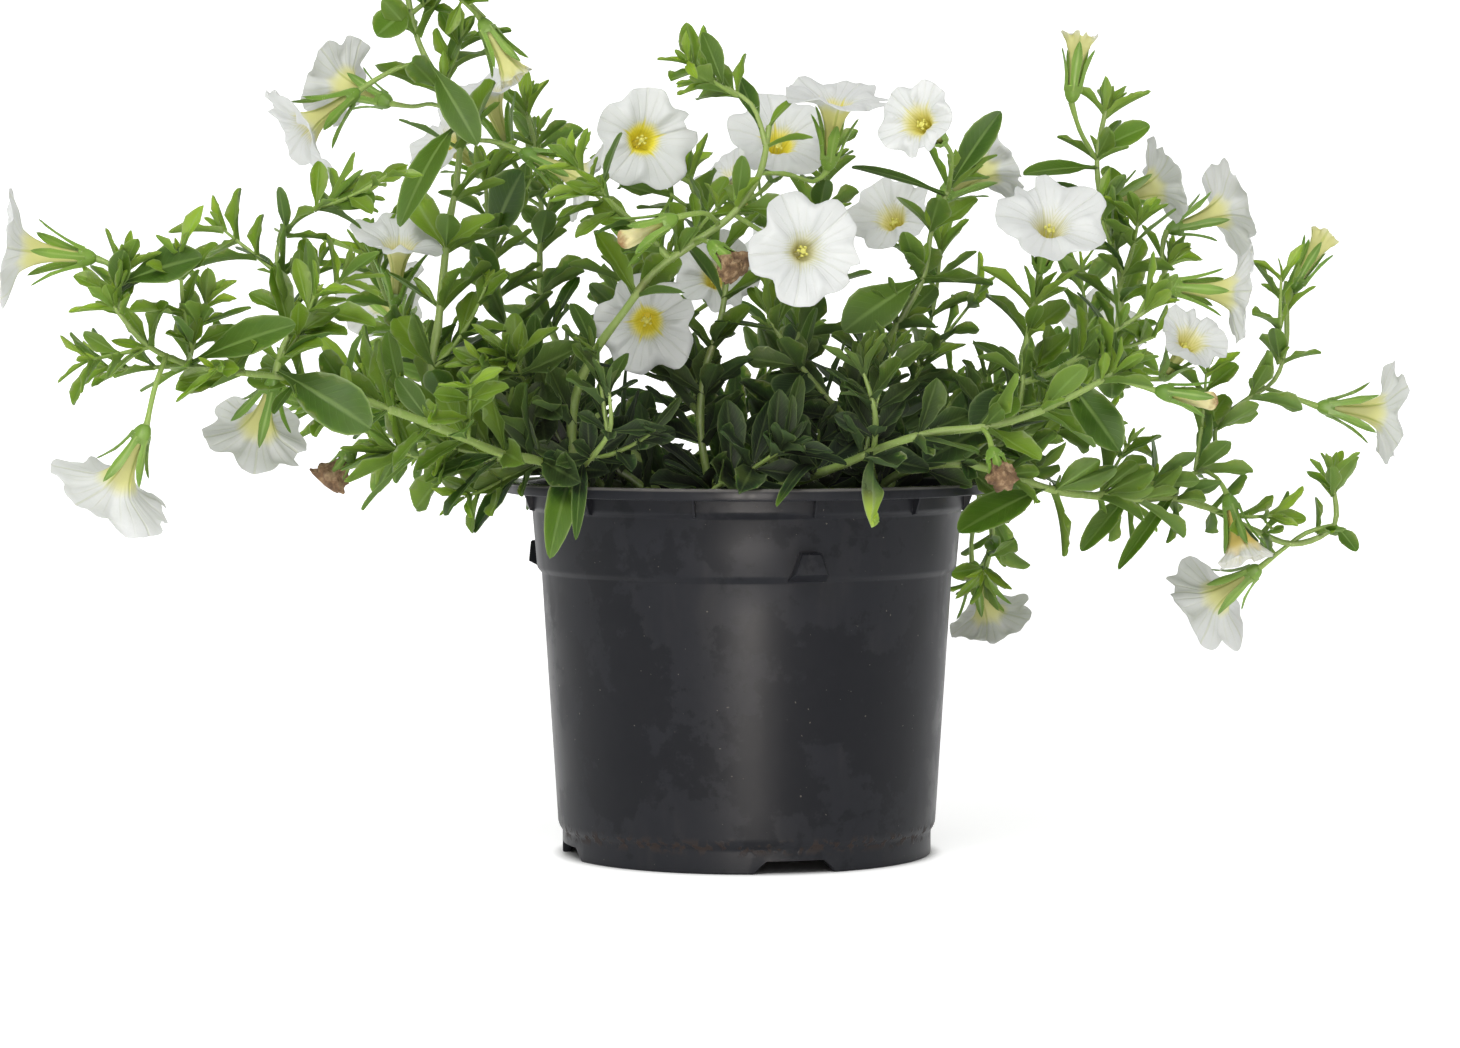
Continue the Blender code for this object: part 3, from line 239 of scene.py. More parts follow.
# The leafy stems. The first branch of each stands in the soil, straight up as far as its first
# point, and the others grow from it.
# A branch is its route, its radius at the foot, the distance between leaves, the lengths of
# its lowest and highest leaves, and the number of leaves in its tuft.
STEMS = {
    "tall_left": [
        Branch([(-26, -8, 96), (-44, -16, 101), (-59, -24, 106), (-75, -30, 114),
                (-84, -32, 125), (-83, -30, 140), (-80, -24, 168), (-77, -20, 193),
                (-87, -20, 215), (-91, -20, 231)], 1.6, 10.0, (24, 20), 5),
        Branch([(-90, -20, 225), (-83, -23, 231), (-75, -26, 230), (-70, -26, 224)],
               0.8, 8.0, (14, 12), 0),
    ],
    "left_runner": [
        Branch([(-34, -20, 96), (-43, -27, 101), (-53, -38, 105), (-65, -52, 107),
                (-82, -65, 114), (-101, -76, 121), (-120, -86, 127), (-143, -97, 130),
                (-158, -105, 134), (-170, -112, 147)], 1.5, 9.0, (24, 14), 2),
        Branch([(-53, -38, 105), (-66, -42, 106), (-80, -46, 105), (-94, -50, 108)],
               1.1, 7.0, (25, 20), 6),
        Branch([(-150, -101, 131), (-148, -102, 139), (-145, -103, 148)], 0.8, 5.0, (14, 12), 6),
        Branch([(-169, -111, 145), (-169, -112, 151), (-167, -112, 157)], 0.8, 5.0, (15, 12), 3),
        Branch([(-127, -89, 128), (-122, -85, 141), (-114, -81, 148), (-109, -79, 154)],
               1.0, 6.0, (20, 16), 5),
        Branch([(-122, -85, 141), (-126, -78, 160), (-122, -72, 169), (-110, -68, 176)],
               0.9, 9.0, (15, 16), 5),
    ],
    "left_mass": [
        Branch([(-32, 8, 96), (-48, 2, 101), (-62, -4, 107), (-77, -8, 118),
                (-88, -8, 134), (-96, -6, 148), (-101, -4, 160)], 1.5, 7.0, (25, 17), 6),
        Branch([(-77, -8, 118), (-90, -24, 121), (-103, -38, 126)], 1.0, 7.0, (24, 18), 6),
    ],
    "left_inner": [
        Branch([(-22, -16, 96), (-36, -18, 103), (-50, -8, 117), (-62, 4, 132),
                (-66, 12, 148), (-69, 18, 166), (-70, 20, 180)], 1.4, 7.5, (26, 18), 6),
        Branch([(-50, -8, 117), (-58, -30, 124), (-62, -44, 132)], 1.0, 7.0, (24, 18), 6),
    ],
    "back_left": [
        Branch([(-16, 16, 96), (-30, 30, 107), (-44, 38, 124), (-55, 44, 148),
                (-55, 46, 170), (-56, 46, 186), (-59, 44, 199)], 1.4, 9.0, (22, 14), 6),
    ],
    "front_diagonal": [
        Branch([(-38, -34, 96), (-46, -35, 102), (-47, -36, 113), (-44, -42, 130),
                (-39, -46, 137), (-28, -52, 152), (-20, -54, 161), (-10, -54, 166),
                (1, -52, 177), (5, -50, 188), (6, -48, 195)], 1.6, 13.0, (22, 18), 2),
        Branch([(-21, -54, 160), (-31, -58, 170), (-39, -60, 177), (-45, -60, 184)],
               1.0, 7.0, (17, 14), 6),
        Branch([(5, -49, 190), (3, -50, 199), (-4, -50, 204), (-9, -50, 207)],
               0.9, 8.0, (18, 14), 6),
        Branch([(-46, -35, 103), (-42, -50, 106), (-38, -57, 111), (-36, -60, 117),
                (-37, -60, 124)], 1.0, 8.0, (16, 14), 4),
    ],
    "centre_mass": [
        Branch([(-8, -12, 96), (-12, -16, 108), (-12, -16, 126), (-7, -16, 143),
                (-6, -16, 158), (-12, -14, 172), (-16, -12, 182)], 1.4, 8.0, (25, 17), 5),
        Branch([(-12, -16, 118), (-22, -6, 128), (-30, 4, 142), (-33, 8, 154)],
               1.0, 8.0, (24, 17), 5),
    ],
    "centre_back": [
        Branch([(4, 14, 96), (8, 22, 108), (12, 28, 130), (17, 32, 150),
                (19, 32, 168), (20, 32, 182)], 1.4, 8.0, (24, 16), 6),
    ],
    "front_low": [
        Branch([(-12, -32, 96), (-6, -42, 99), (3, -50, 104), (10, -56, 109)],
               1.1, 7.0, (24, 20), 5),
    ],
    "right_rising": [
        Branch([(4, -24, 96), (14, -36, 100), (25, -46, 104), (34, -52, 108),
                (45, -56, 112), (58, -58, 114), (69, -58, 115), (79, -56, 119),
                (90, -54, 124), (99, -52, 129)], 1.6, 11.0, (24, 16), 5),
        Branch([(34, -52, 108), (35, -56, 115), (33, -58, 124), (31, -58, 130)],
               1.0, 7.0, (17, 15), 6),
    ],
    "right_upright": [
        Branch([(24, -5, 96), (38, -10, 101), (54, -16, 106), (66, -25, 112),
                (72, -32, 118), (74, -35, 128), (75, -35, 137), (77, -34, 148)],
               1.5, 8.0, (26, 16), 5),
        Branch([(74, -35, 126), (86, -40, 131), (97, -43, 139), (108, -44, 146)],
               1.0, 9.0, (20, 15), 4),
    ],
    "centre_upright": [
        Branch([(14, -8, 96), (24, -12, 101), (31, -16, 112), (34, -18, 128),
                (38, -20, 138), (45, -22, 149), (48, -22, 157), (50, -22, 169),
                (55, -22, 180)], 1.4, 9.0, (24, 17), 5),
        Branch([(31, -16, 113), (22, -22, 122), (12, -26, 134), (6, -26, 144)],
               1.0, 8.0, (22, 17), 5),
    ],
    "right_runner": [
        Branch([(32, -18, 96), (42, -26, 102), (54, -32, 105), (66, -33, 103),
                (80, -26, 98), (93, -16, 96), (105, -8, 95), (118, 0, 95), (130, 5, 90),
                (140, 8, 85), (149, 8, 83), (157, 8, 86), (158, 8, 93), (157, 8, 101)],
               1.5, 10.0, (21, 12), 6),
        Branch([(118, 0, 95), (123, 4, 103), (125, 8, 113), (131, 12, 120), (139, 14, 124),
                (143, 15, 130), (145, 16, 138), (145, 16, 147)], 1.0, 10.0, (19, 13), 2),
    ],
    "right_tall": [
        Branch([(34, 4, 96), (46, 7, 102), (59, 10, 107), (74, 13, 113),
                (87, 14, 122), (97, 14, 133), (100, 14, 145), (100, 14, 157), (96, 14, 170),
                (94, 14, 182), (94, 14, 190), (96, 14, 199)], 1.5, 9.0, (22, 14), 5),
        Branch([(100, 14, 152), (103, 10, 161), (105, 6, 170)], 0.9, 6.0, (17, 13), 5),
    ],
    "right_back": [
        Branch([(26, 20, 96), (40, 28, 102), (52, 34, 106), (68, 42, 114),
                (84, 48, 126), (98, 50, 138), (108, 50, 148), (113, 50, 158)],
               1.4, 8.0, (24, 15), 6),
    ],
    "right_hanging": [
        Branch([(24, 34, 96), (36, 42, 104), (47, 49, 108), (58, 54, 104),
                (65, 56, 94), (66, 57, 84), (64, 58, 74)], 1.2, 8.0, (20, 15), 6),
    ],
    "rear_left": [
        Branch([(-22, 30, 96), (-33, 44, 105), (-44, 58, 111), (-60, 76, 114),
                (-78, 90, 124), (-92, 98, 138)], 1.4, 8.0, (24, 16), 6),
        Branch([(-44, 58, 111), (-70, 60, 110), (-96, 58, 112), (-118, 54, 120)],
               1.1, 9.0, (22, 15), 6),
    ],
    "rear_centre": [
        Branch([(-2, 34, 96), (-4, 50, 106), (-4, 66, 112), (0, 86, 120),
                (6, 98, 136), (8, 102, 150)], 1.4, 8.0, (24, 16), 6),
        Branch([(-4, 60, 107), (-18, 66, 124), (-26, 68, 144), (-28, 68, 160)],
               1.0, 8.0, (22, 15), 6),
    ],
    "rear_right": [
        Branch([(12, 30, 96), (22, 46, 105), (34, 62, 111), (50, 80, 114),
                (68, 94, 120), (82, 100, 130)], 1.4, 8.0, (24, 16), 6),
        Branch([(34, 62, 111), (44, 64, 126), (50, 64, 146), (52, 62, 162)],
               1.0, 8.0, (22, 15), 6),
    ],
}

# The flowers: the stem that carries each, the centre of its mouth, the way that it faces,
# its width and its state.
BLOOMS = [
    Bloom("left_runner", (-198, -114, 162), (-1.0, -0.15, 0.1), 29),
    Bloom("left_runner", (-171, -104, 96), (-0.45, 0.3, -0.8), 33),
    Bloom("left_runner", (-132, -72, 112), (-0.3, 0.6, -0.7), 27),
    Bloom("tall_left", (-121, -30, 193), (-0.77, -0.3, -0.55), 28),
    Bloom("tall_left", (-110, 12, 207), (-0.72, 0.5, 0.3), 26),
    Bloom("left_mass", (-93, -20, 166), (0.1, -0.4, 0.9), 27),
    Bloom("back_left", (-70, 26, 206), (-0.3, -0.3, 0.9), 26),
    Bloom("tall_left", (-42, -14, 180), (0.9, 0.1, -0.4), 24),
    Bloom("centre_mass", (-27, -42, 192), (0.25, -0.95, 0.1), 27),
    Bloom("centre_mass", (-27, -36, 142), (0.0, -0.95, -0.15), 28),
    Bloom("centre_mass", (9, -16, 193), (0.1, -0.8, 0.55), 28),
    Bloom("front_diagonal", (24, -42, 204), (0.1, -0.3, 0.93), 29),
    Bloom("centre_upright", (45, -60, 197), (-0.4, -0.85, 0.25), 21),
    Bloom("front_diagonal", (16, -72, 162), (0.15, -0.97, 0.05), 29),
    Bloom("centre_back", (-6, 30, 184), (-0.5, -0.3, 0.7), 25),
    Bloom("right_upright", (82, -50, 171), (0.1, -0.7, 0.65), 30),
    Bloom("centre_upright", (66, 8, 185), (0.75, 0.4, 0.5), 23),
    Bloom("right_tall", (112, 34, 180), (0.9, 0.2, 0.35), 25),
    Bloom("right_back", (130, 56, 173), (0.9, 0.3, 0.3), 30),
    Bloom("right_upright", (133, -36, 150), (0.93, 0.0, -0.1), 26),
    Bloom("right_tall", (120, -6, 139), (0.3, -0.6, 0.5), 20),
    Bloom("right_tall", (89, 6, 219), (0.12, 0.0, 0.98), 10, "half_open"),
    Bloom("right_runner", (155, 16, 166), (0.5, 0.0, 0.85), 9, "half_open"),
    Bloom("right_runner", (173, 20, 118), (0.98, 0.1, -0.1), 28),
    Bloom("right_runner", (124, 24, 67), (-0.6, 0.6, -0.5), 29),
    Bloom("right_runner", (134, -8, 79), (0.25, -0.2, -0.95), 15, "half_open"),
    Bloom("right_hanging", (66, 66, 62), (0.3, 0.4, -0.85), 25),
    Bloom("tall_left", (-62, -28, 208), (0.5, -0.1, -0.85), 10, "half_open"),
    Bloom("back_left", (-82, 34, 192), (-0.6, -0.6, 0.5), 23),
    Bloom("right_rising", (126, -52, 121), (1.0, 0.0, -0.2), 5, "wilting"),
    Bloom("front_diagonal", (-34, -72, 164), (-0.9, -0.2, -0.4), 5, "wilting"),
    Bloom("rear_right", (38, 52, 172), (-0.3, -0.7, 0.5), 25),
    Bloom("rear_centre", (-8, 52, 156), (0.1, -0.9, 0.4), 25),
    Bloom("rear_left", (-98, 116, 150), (-0.3, 0.8, 0.4), 29),
    Bloom("rear_centre", (12, 119, 160), (0.2, 0.8, 0.5), 30),
    Bloom("rear_right", (96, 114, 140), (0.5, 0.8, 0.2), 28),
    Bloom("left_runner", (-113, -50, 99), (-0.6, -0.2, -0.8), 6, "withered"),
    Bloom("right_rising", (69, -74, 99), (0.2, -0.6, -0.7), 5, "withered"),
    Bloom("front_diagonal", (-2, -64, 156), (0.6, -0.4, -0.6), 6, "withered"),
]

# Large leaves that the front view shows, by stem: root, tip, width, and a bend if it is unusual
BEND_USUAL = -0.15
FRONT_LEAVES = {
    "tall_left": [
        ((-77, -20, 195), (-93, -50, 168), 7.5, -0.5), ((-85, -20, 212), (-72, -32, 190), 8.0),
        ((-91, -20, 226), (-99, -28, 219), 8.5)],
    "left_runner": [
        ((-167, -112, 152), (-146, -118, 160), 9.5), ((-169, -112, 150), (-167, -118, 162), 5.5),
        ((-150, -100, 131), (-121, -108, 142), 9.0), ((-126, -88, 129), (-101, -96, 114), 12.5),
        ((-112, -69, 175), (-100, -76, 174), 9.0)],
    "front_diagonal": [
        ((-46, -35, 105), (-53, -62, 79), 7.5, -0.9), ((-44, -42, 105), (-46, -66, 84), 3.5, -0.9),
        ((-7, -50, 204), (-12, -54, 220), 5.5)],
    "right_rising": [
        ((33, -52, 108), (34, -72, 83), 5.0, -0.8), ((18, -40, 103), (8, -78, 93), 4.0, -0.9)],
    "right_upright": [
        ((59, -29, 124), (48, -48, 105), 12.0), ((69, -32, 128), (61, -46, 113), 10.0),
        ((86, -40, 125), (100, -48, 108), 10.5), ((100, -44, 138), (98, -50, 122), 8.5)],
    "centre_upright": [
        ((47, -22, 154), (26, -34, 140), 11.5), ((24, -22, 136), (10, -36, 122), 10.5),
        ((56, -22, 184), (68, -30, 199), 7.0), ((50, -22, 178), (28, -32, 184), 4.0)],
    "left_inner": [
        ((-67, 14, 164), (-60, 2, 183), 12.5)],
    "right_tall": [
        ((96, 14, 188), (108, 8, 195), 7.0), ((95, 14, 184), (74, 6, 182), 6.5)],
    "right_runner": [
        ((80, -24, 99), (57, -46, 86), 10.0), ((105, -8, 94), (90, -14, 81), 6.0),
        ((122, 1, 92), (100, -8, 76), 4.5), ((150, 8, 83), (164, 4, 81), 4.5)],
}

# How strongly yellow a flower's throat is, where it differs from the others, by its number
THROATS = {9: 1.0, 10: 0.85, 11: 0.95, 12: 0.9, 13: 0.5, 14: 0.12, 16: 0.2}
THROAT_USUAL = 0.4


class Wire:
    """A number, colour or vector in a node tree; its operators add Math nodes."""

    def __init__(self, nodes, socket):
        self.nodes = nodes
        self.socket = socket

    def __add__(self, other):
        return self.nodes.maths("ADD", self, other)

    def __sub__(self, other):
        return self.nodes.maths("SUBTRACT", self, other)

    def __rsub__(self, other):
        return self.nodes.maths("SUBTRACT", other, self)

    def __mul__(self, other):
        return self.nodes.maths("MULTIPLY", self, other)

    def __truediv__(self, other):
        return self.nodes.maths("DIVIDE", self, other)

    def __abs__(self):
        return self.nodes.maths("ABSOLUTE", self)

    __radd__ = __add__


class Nodes:
    """A node tree, with the ways to add nodes to it."""

    def __init__(self, graph):
        self.graph = graph

    def make(self, kind, values, output=0, **settings):
        """A node of a kind, with its settings and with values or wires on its sockets."""
        node = self.graph.nodes.new(kind)
        for label, value in settings.items():
            setattr(node, label, value)
        for label, value in values.items():
            self.plug(node.inputs[label], value)
        return Wire(self, node.outputs[output])

    def plug(self, socket, value):
        if isinstance(value, Wire):
            self.graph.links.new(value.socket, socket)
        else:
            socket.default_value = value

    def maths(self, operation, *values):
        return self.make("ShaderNodeMath", dict(enumerate(values)), operation=operation)


class Shader(Nodes):
    """The nodes of a material."""

    def __init__(self, name, **constants):
        self.material = bpy.data.materials.new(name)
        self.material.use_nodes = True
        super().__init__(self.material.node_tree)
        self.coat(constants)

    def coat(self, values):
        """Puts values or wires on the surface's sockets."""
        surface = self.graph.nodes["Principled BSDF"]
        for label, value in values.items():
            self.plug(surface.inputs[label.replace("_", " ")], value)

    def show(self, colour, rough, height=None, distance=0.0, strength=1.0, **more):
        """The material, with its colour, its roughness and bumps of some height."""
        if height:
            values = {"Height": height, "Distance": distance, "Strength": strength}
            more["Normal"] = self.make("ShaderNodeBump", values)
        self.coat({"Base_Color": colour, "Roughness": rough, **more})
        return self.material

    def mix(self, share, low, high):
        """A colour between two."""
        return self.make("ShaderNodeMix", {0: share, 6: rgba(low), 7: rgba(high)}, 2,
                         data_type="RGBA")

    def layers(self, colour, *coats):
        """A colour under coats, each a share and its own colour."""
        for share, tint in coats:
            colour = self.mix(share, colour, tint)
        return colour

    def ramp(self, value, *stops):
        """The colour of a number, between stops that are each a number and its colour."""
        wire = self.make("ShaderNodeValToRGB", {0: value})
        elements = wire.socket.node.color_ramp.elements
        while len(elements) < len(stops):
            elements.new(1.0)
        for element, (position, colour) in zip(elements, stops):
            element.position = position
            element.color = rgba(colour)
        return wire

    def step(self, value, low, high):
        """0 below low and 1 above high, with a smooth rise between."""
        return self.make("ShaderNodeMapRange", {0: value, 1: low, 2: high},
                         interpolation_type="SMOOTHSTEP")

    def fall(self, value, low, high):
        """1 below low and 0 above high."""
        return 1 - self.step(value, low, high)

    def number(self, name):
        """A number that the mesh holds for each of its points."""
        return self.make("ShaderNodeAttribute", {}, 2, attribute_name=name)

    def place(self, stretch=(1.0, 1.0, 1.0)):
        return self.make("ShaderNodeMapping",
                         {0: self.make("ShaderNodeTexCoord", {}, 3), 3: stretch})

    def height(self):
        return self.make("ShaderNodeSeparateXYZ", {0: self.place()}, 2)

    def away(self, stretch=(1.0, 1.0, 1.0)):
        """How far from the origin a stretched place is."""
        return self.make("ShaderNodeVectorMath", {0: self.place(stretch)}, 1, operation="LENGTH")

    def noise(self, scale, detail=3.0, rough=0.5, where=None):
        values = {"Vector": where or self.place(), "Scale": scale, "Detail": detail,
                  "Roughness": rough}
        return self.make("ShaderNodeTexNoise", values)


def rgba(colour):
    return colour if isinstance(colour, Wire) else (*colour, 1.0)


def leaf_material():
    """Green blades: pale midrib, thin pale margin, faint side veins, brighter where young, and
    painted shade low in the middle of the plant.
    """
    shader = Shader("leaf", IOR=1.42, Subsurface_Weight=0.18, Subsurface_Scale=0.002,
                    Subsurface_Radius=(0.6, 1.0, 0.25), Specular_IOR_Level=0.36)
    along = shader.number("along")
    aside = abs(shader.number("across"))
    under = shader.number("under")
    tone = shader.number("tone") * 0.3 + shader.number("shade") * 0.7
    patches = shader.noise(160.0, 4.0)
    mature = shader.mix(tone * 0.8 + patches * 0.3, (0.006, 0.029, 0.003), (0.090, 0.182, 0.013))
    fresh = shader.mix(tone * 0.7 + patches * 0.4, (0.130, 0.275, 0.010), (0.350, 0.500, 0.030))
    # Painted shade: low in the middle of the plant the leaves are darkened nearly to black, and
    # their pale midrib and margin are dimmed.
    inner = painted_shade_share(shader)
    lit = 1 - inner * 0.6
    rib = shader.fall(aside, 0.02, 0.15) * (1 - along * 0.75)
    margin = shader.step(aside, 0.86, 1.0)
    waves = shader.maths("SINE", (along * 26.0 - aside * 5.5) * math.pi)
    veins = shader.step(waves, 0.80, 1.0) * (1 - margin)
    colour = shader.layers(
        shader.mix(shader.number("young"), mature, fresh),
        (inner * 0.97, (0.003, 0.013, 0.003)),
        (under * 0.38, (0.110, 0.190, 0.060)),
        (rib * 0.75 * lit, (0.270, 0.400, 0.105)),
        (margin * 0.6 * lit, (0.260, 0.375, 0.110)),
        (shader.step(shader.noise(40.0, 2.0), 0.62, 0.78) * 0.35, (0.190, 0.260, 0.040)),
        (veins * 0.07, (0.160, 0.260, 0.060)))
    return shader.show(colour, 0.35 + patches * 0.22 + under * 0.12 + inner * 0.25,
                       veins * -0.14 - rib * 0.8 + patches * 0.5, 0.00025, 0.6)


def painted_shade_share(shader):
    """1 low down in the middle of the plant, where the leaves get a near-black painted shade, and
    0 outside.
    """
    height = shader.height()
    low = shader.step(height, 0.094, 0.101) * shader.fall(height, 0.112, 0.172)
    return low * shader.fall(shader.away((1.0, 0.62, 0.0)), 0.050, 0.088)


def stalk_material():
    """Stems and stalks: light yellow-green with long pale streaks."""
    shader = Shader("stalk", **GREEN_TISSUE)
    streaks = shader.noise(900.0, 2.0, where=shader.place((1.0, 1.0, 0.12)))
    blotches = shader.noise(70.0, 3.0)
    colour = shader.layers(
        shader.mix(blotches, (0.190, 0.300, 0.058), (0.390, 0.490, 0.150)),
        (shader.number("young") * 0.5, (0.270, 0.440, 0.055)),
        (shader.step(streaks, 0.5, 0.75) * 0.5, (0.400, 0.500, 0.190)),
        (shader.step(blotches, 0.66, 0.8) * 0.4, (0.200, 0.150, 0.050)))
    return shader.show(colour, 0.42 + streaks * 0.25, streaks, 0.0002, 0.5)


def sepal_material():
    """Cups and sepals: green, with a pale midrib and a dark tip."""
    shader = Shader("sepal", **GREEN_TISSUE)
    patches = shader.noise(220.0, 3.0)
    rib = shader.fall(abs(shader.number("across")), 0.05, 0.35)
    tone = shader.number("tone") * 0.6 + patches * 0.4
    colour = shader.layers(
        shader.mix(tone, (0.110, 0.235, 0.024), (0.250, 0.410, 0.060)),
        (rib * 0.5, (0.360, 0.480, 0.130)),
        (shader.step(shader.number("along"), 0.55, 1.0) * 0.5, (0.070, 0.165, 0.020)))
    return shader.show(colour, 0.4 + patches * 0.2, patches, 0.0003, 0.5)


def petal_material(name, tissue, shadow, tube):
    """Petals: veins that fan out from the throat, a yellow throat with a painted glow, and a
    greenish tube.
    """
    shader = Shader(name, IOR=1.36, Subsurface_Weight=0.25, Subsurface_Scale=0.002,
                    Subsurface_Radius=(1.0, 0.95, 0.85), Emission_Strength=0.16)
    out = shader.number("out")
    aside = shader.number("aside")
    back = shader.number("back")
    yellow = shader.number("yellow")
    grain = shader.noise(700.0, 3.0)
    middle = shader.fall(aside, 0.12, 0.42)
    spread = out * 0.23
    inner = shader.fall(abs(aside - spread), 0.06, 0.30)
    outer = shader.fall(abs(aside - spread * 1.9), 0.06, 0.30)
    reach = shader.step(out, 3.0, 6.0) * (1 - shader.step(out, 9.0, 14.0) * 0.7)
    veins = middle + inner * 0.55 * reach + outer * 0.35 * reach
    warm = shader.fall(out + grain * 1.2 - middle * 1.2, 3.4, 5.9)
    deep = shader.fall(out + grain * 0.8, 2.6, 4.2)
    lines = shader.step(shader.maths("SINE", aside * 9.0), 0.3, 0.9) * shader.fall(out, 4.0, 7.0)
    tube_share = shader.fall(out, 3.4, 6.4) * back
    colour = shader.layers(
        shader.mix(shader.noise(90.0, 2.0), shadow, tissue),
        (veins * (0.10 + back * 0.22), (0.560, 0.600, 0.330)),
        (warm * yellow * (1 - back * 0.5), (0.900, 0.790, 0.060)),
        (deep * (0.15 + yellow * 0.6) * (1 - back), (0.580, 0.510, 0.030)),
        (lines * 0.3 * (1 - back), (0.420, 0.440, 0.060)),
        (tube_share * 0.85, tube),
        (tube_share * middle * 0.6, (0.400, 0.460, 0.090)))
    # Painted glow: emission in the throat that stands in for light coming through its tissue from
    # behind
    glow = shader.fall(out, 1.5, 4.8) * (0.25 + yellow * 0.75) * (1 - back)
    return shader.show(colour, 0.5 + grain * 0.12, grain * 0.35 - veins * 0.8, 0.0003, 0.7,
                       Emission_Color=shader.mix(glow, BLACK, (0.900, 0.740, 0.040)))


def wilting_material():
    """A flower past its time: greenish below, pale yellow above, brown at its end."""
    shader = Shader("wilting", IOR=1.4, Subsurface_Weight=0.2, Subsurface_Scale=0.002,
                    Subsurface_Radius=(1.0, 0.8, 0.4))
    along = shader.number("along")
    grain = shader.noise(500.0, 4.0)
    pale = shader.mix(shader.step(along, 0.1, 0.6), (0.560, 0.580, 0.120), (0.860, 0.780, 0.400))
    brown = shader.step(along + grain * 0.3, 0.95, 1.15)
    colour = shader.mix(brown, pale, (0.330, 0.170, 0.060))
    return shader.show(colour, 0.5 + grain * 0.2, grain, 0.0004, 0.8)


def withered_material():
    """Dry creased brown."""
    shader = Shader("withered", IOR=1.4)
    grain = shader.noise(420.0, 6.0, 0.6)
    crease = shader.noise(1500.0, 3.0)
    colour = shader.ramp(grain, (0.30, (0.080, 0.042, 0.022)), (0.50, (0.230, 0.135, 0.066)),
                         (0.70, (0.500, 0.350, 0.200)))
    return shader.show(colour, 0.7 + crease * 0.25, grain + crease * 0.4, 0.0008)


def anther_material():
    shader = Shader("anther", IOR=1.4)
    grain = shader.noise(1800.0, 3.0)
    colour = shader.mix(grain, (0.560, 0.560, 0.080), (0.880, 0.820, 0.260))
    return shader.show(colour, 0.7 + grain * 0.2, grain, 0.0002, 0.8)


def hair_material():
    shader = Shader("hair", IOR=1.45)
    tint = shader.noise(300.0, 1.0)
    return shader.show(shader.mix(tint, (0.48, 0.55, 0.33), (0.70, 0.74, 0.55)), 0.5)


def soil_material():
    """Dark damp peat with paler crumbs and a few light fibres."""
    shader = Shader("soil", IOR=1.4)
    lumps = shader.noise(260.0, 8.0, 0.65)
    fibres = shader.noise(700.0, 4.0, where=shader.place((1.0, 0.25, 1.0)))
    peat = shader.ramp(lumps, (0.34, (0.006, 0.004, 0.003)), (0.52, (0.026, 0.015, 0.009)),
                       (0.74, (0.085, 0.052, 0.030)))
    colour = shader.mix(shader.step(fibres, 0.66, 0.76) * 0.6, peat, (0.150, 0.095, 0.055))
    return shader.show(colour, 0.82 + lumps * 0.15, lumps + fibres * 0.4, 0.0015)


def pot_material():
    """Charcoal plastic: damp stains, dried water marks, dust specks, soil at the foot, and a
    painted highlight along the rim's top edge.
    """
    shader = Shader("pot_plastic", IOR=1.46, Specular_IOR_Level=0.14)
    height = shader.height()
    small = shader.noise(120.0, 5.0, 0.6)
    runs = shader.noise(150.0, 4.0, where=shader.place((1.0, 1.0, 0.16)))
    zone = shader.fall(height, 0.055, 0.074) * shader.step(height, 0.001, 0.030) * 0.10
    damp = shader.step(shader.noise(46.0, 8.0, 0.68) + zone, 0.55, 0.60)
    wet = shader.maths("MAXIMUM", damp, shader.step(small, 0.62, 0.66) * 0.7)
    dust = shader.step(runs, 0.50, 0.80) * (1 - wet)
    specks = shader.step(shader.noise(900.0, 1.0), 0.78, 0.81)
    groove = shader.fall(height, 0.007, 0.010) * shader.step(height, 0.004, 0.007)
    foot = groove * shader.step(shader.noise(420.0, 5.0), 0.50, 0.60)
    # Painted highlight: a pale band along the rim's top edge where a lamp's reflection runs; the
    # plastic is also smoother there.
    edge = shader.step(height, (RIM_TOP - 0.9) * MM, (RIM_TOP - 0.3) * MM)
    colour = shader.layers(
        shader.mix(small, (0.0140, 0.0150, 0.0190), (0.0215, 0.0222, 0.0262)),
        (wet * 0.45, (0.0056, 0.0060, 0.0078)),
        (dust * 0.22, (0.0450, 0.0420, 0.0400)),
        (specks * 0.55, (0.180, 0.160, 0.135)),
        (foot * 0.4, (0.060, 0.036, 0.022)),
        (edge * 0.7, (0.200, 0.188, 0.178)))
    rough = 0.33 + runs * 0.10 + dust * 0.08 - wet * 0.07 + foot * 0.3 - edge * 0.14
    relief = shader.noise(2600.0, 2.0) * 0.10 + specks * 0.5 + foot * 1.2
    return shader.show(colour, rough, relief, 0.0002, 0.5)


def floor_material():
    """White, and shaded under the pot and close round its foot."""
    shader = Shader("floor", Emission_Strength=FLOOR_GLOW)
    away = shader.away()
    # Painted shadow: the floor's glow fades out under the pot and close round its foot, and is a
    # little lower within a metre and a half of the axis.
    lit = shader.step(away, 0.97 * FOOT_RADIUS * MM, 1.08 * FOOT_RADIUS * MM) * 0.7
    lit = lit + shader.step(away, 0.5, 1.5) * 0.3
    colour = shader.mix(shader.noise(3.0, 3.0), (0.80, 0.80, 0.80), (0.84, 0.84, 0.84))
    return shader.show(colour, 0.55, Emission_Color=shader.mix(lit, BLACK, WHITE))


def polar(radius, turn, height=0.0):
    """A point by its distance from the axis, its angle round it and its height."""
    return Vector((radius * math.cos(turn), radius * math.sin(turn), height))


def swung(first, second, angle):
    """A direction, turned by an angle from the first to the second."""
    return first * math.cos(angle) + second * math.sin(angle)


def square_to(axis, hint):
    """The direction at right angles to an axis that is nearest to a hint."""
    return (hint - axis * hint.dot(axis)).normalized()


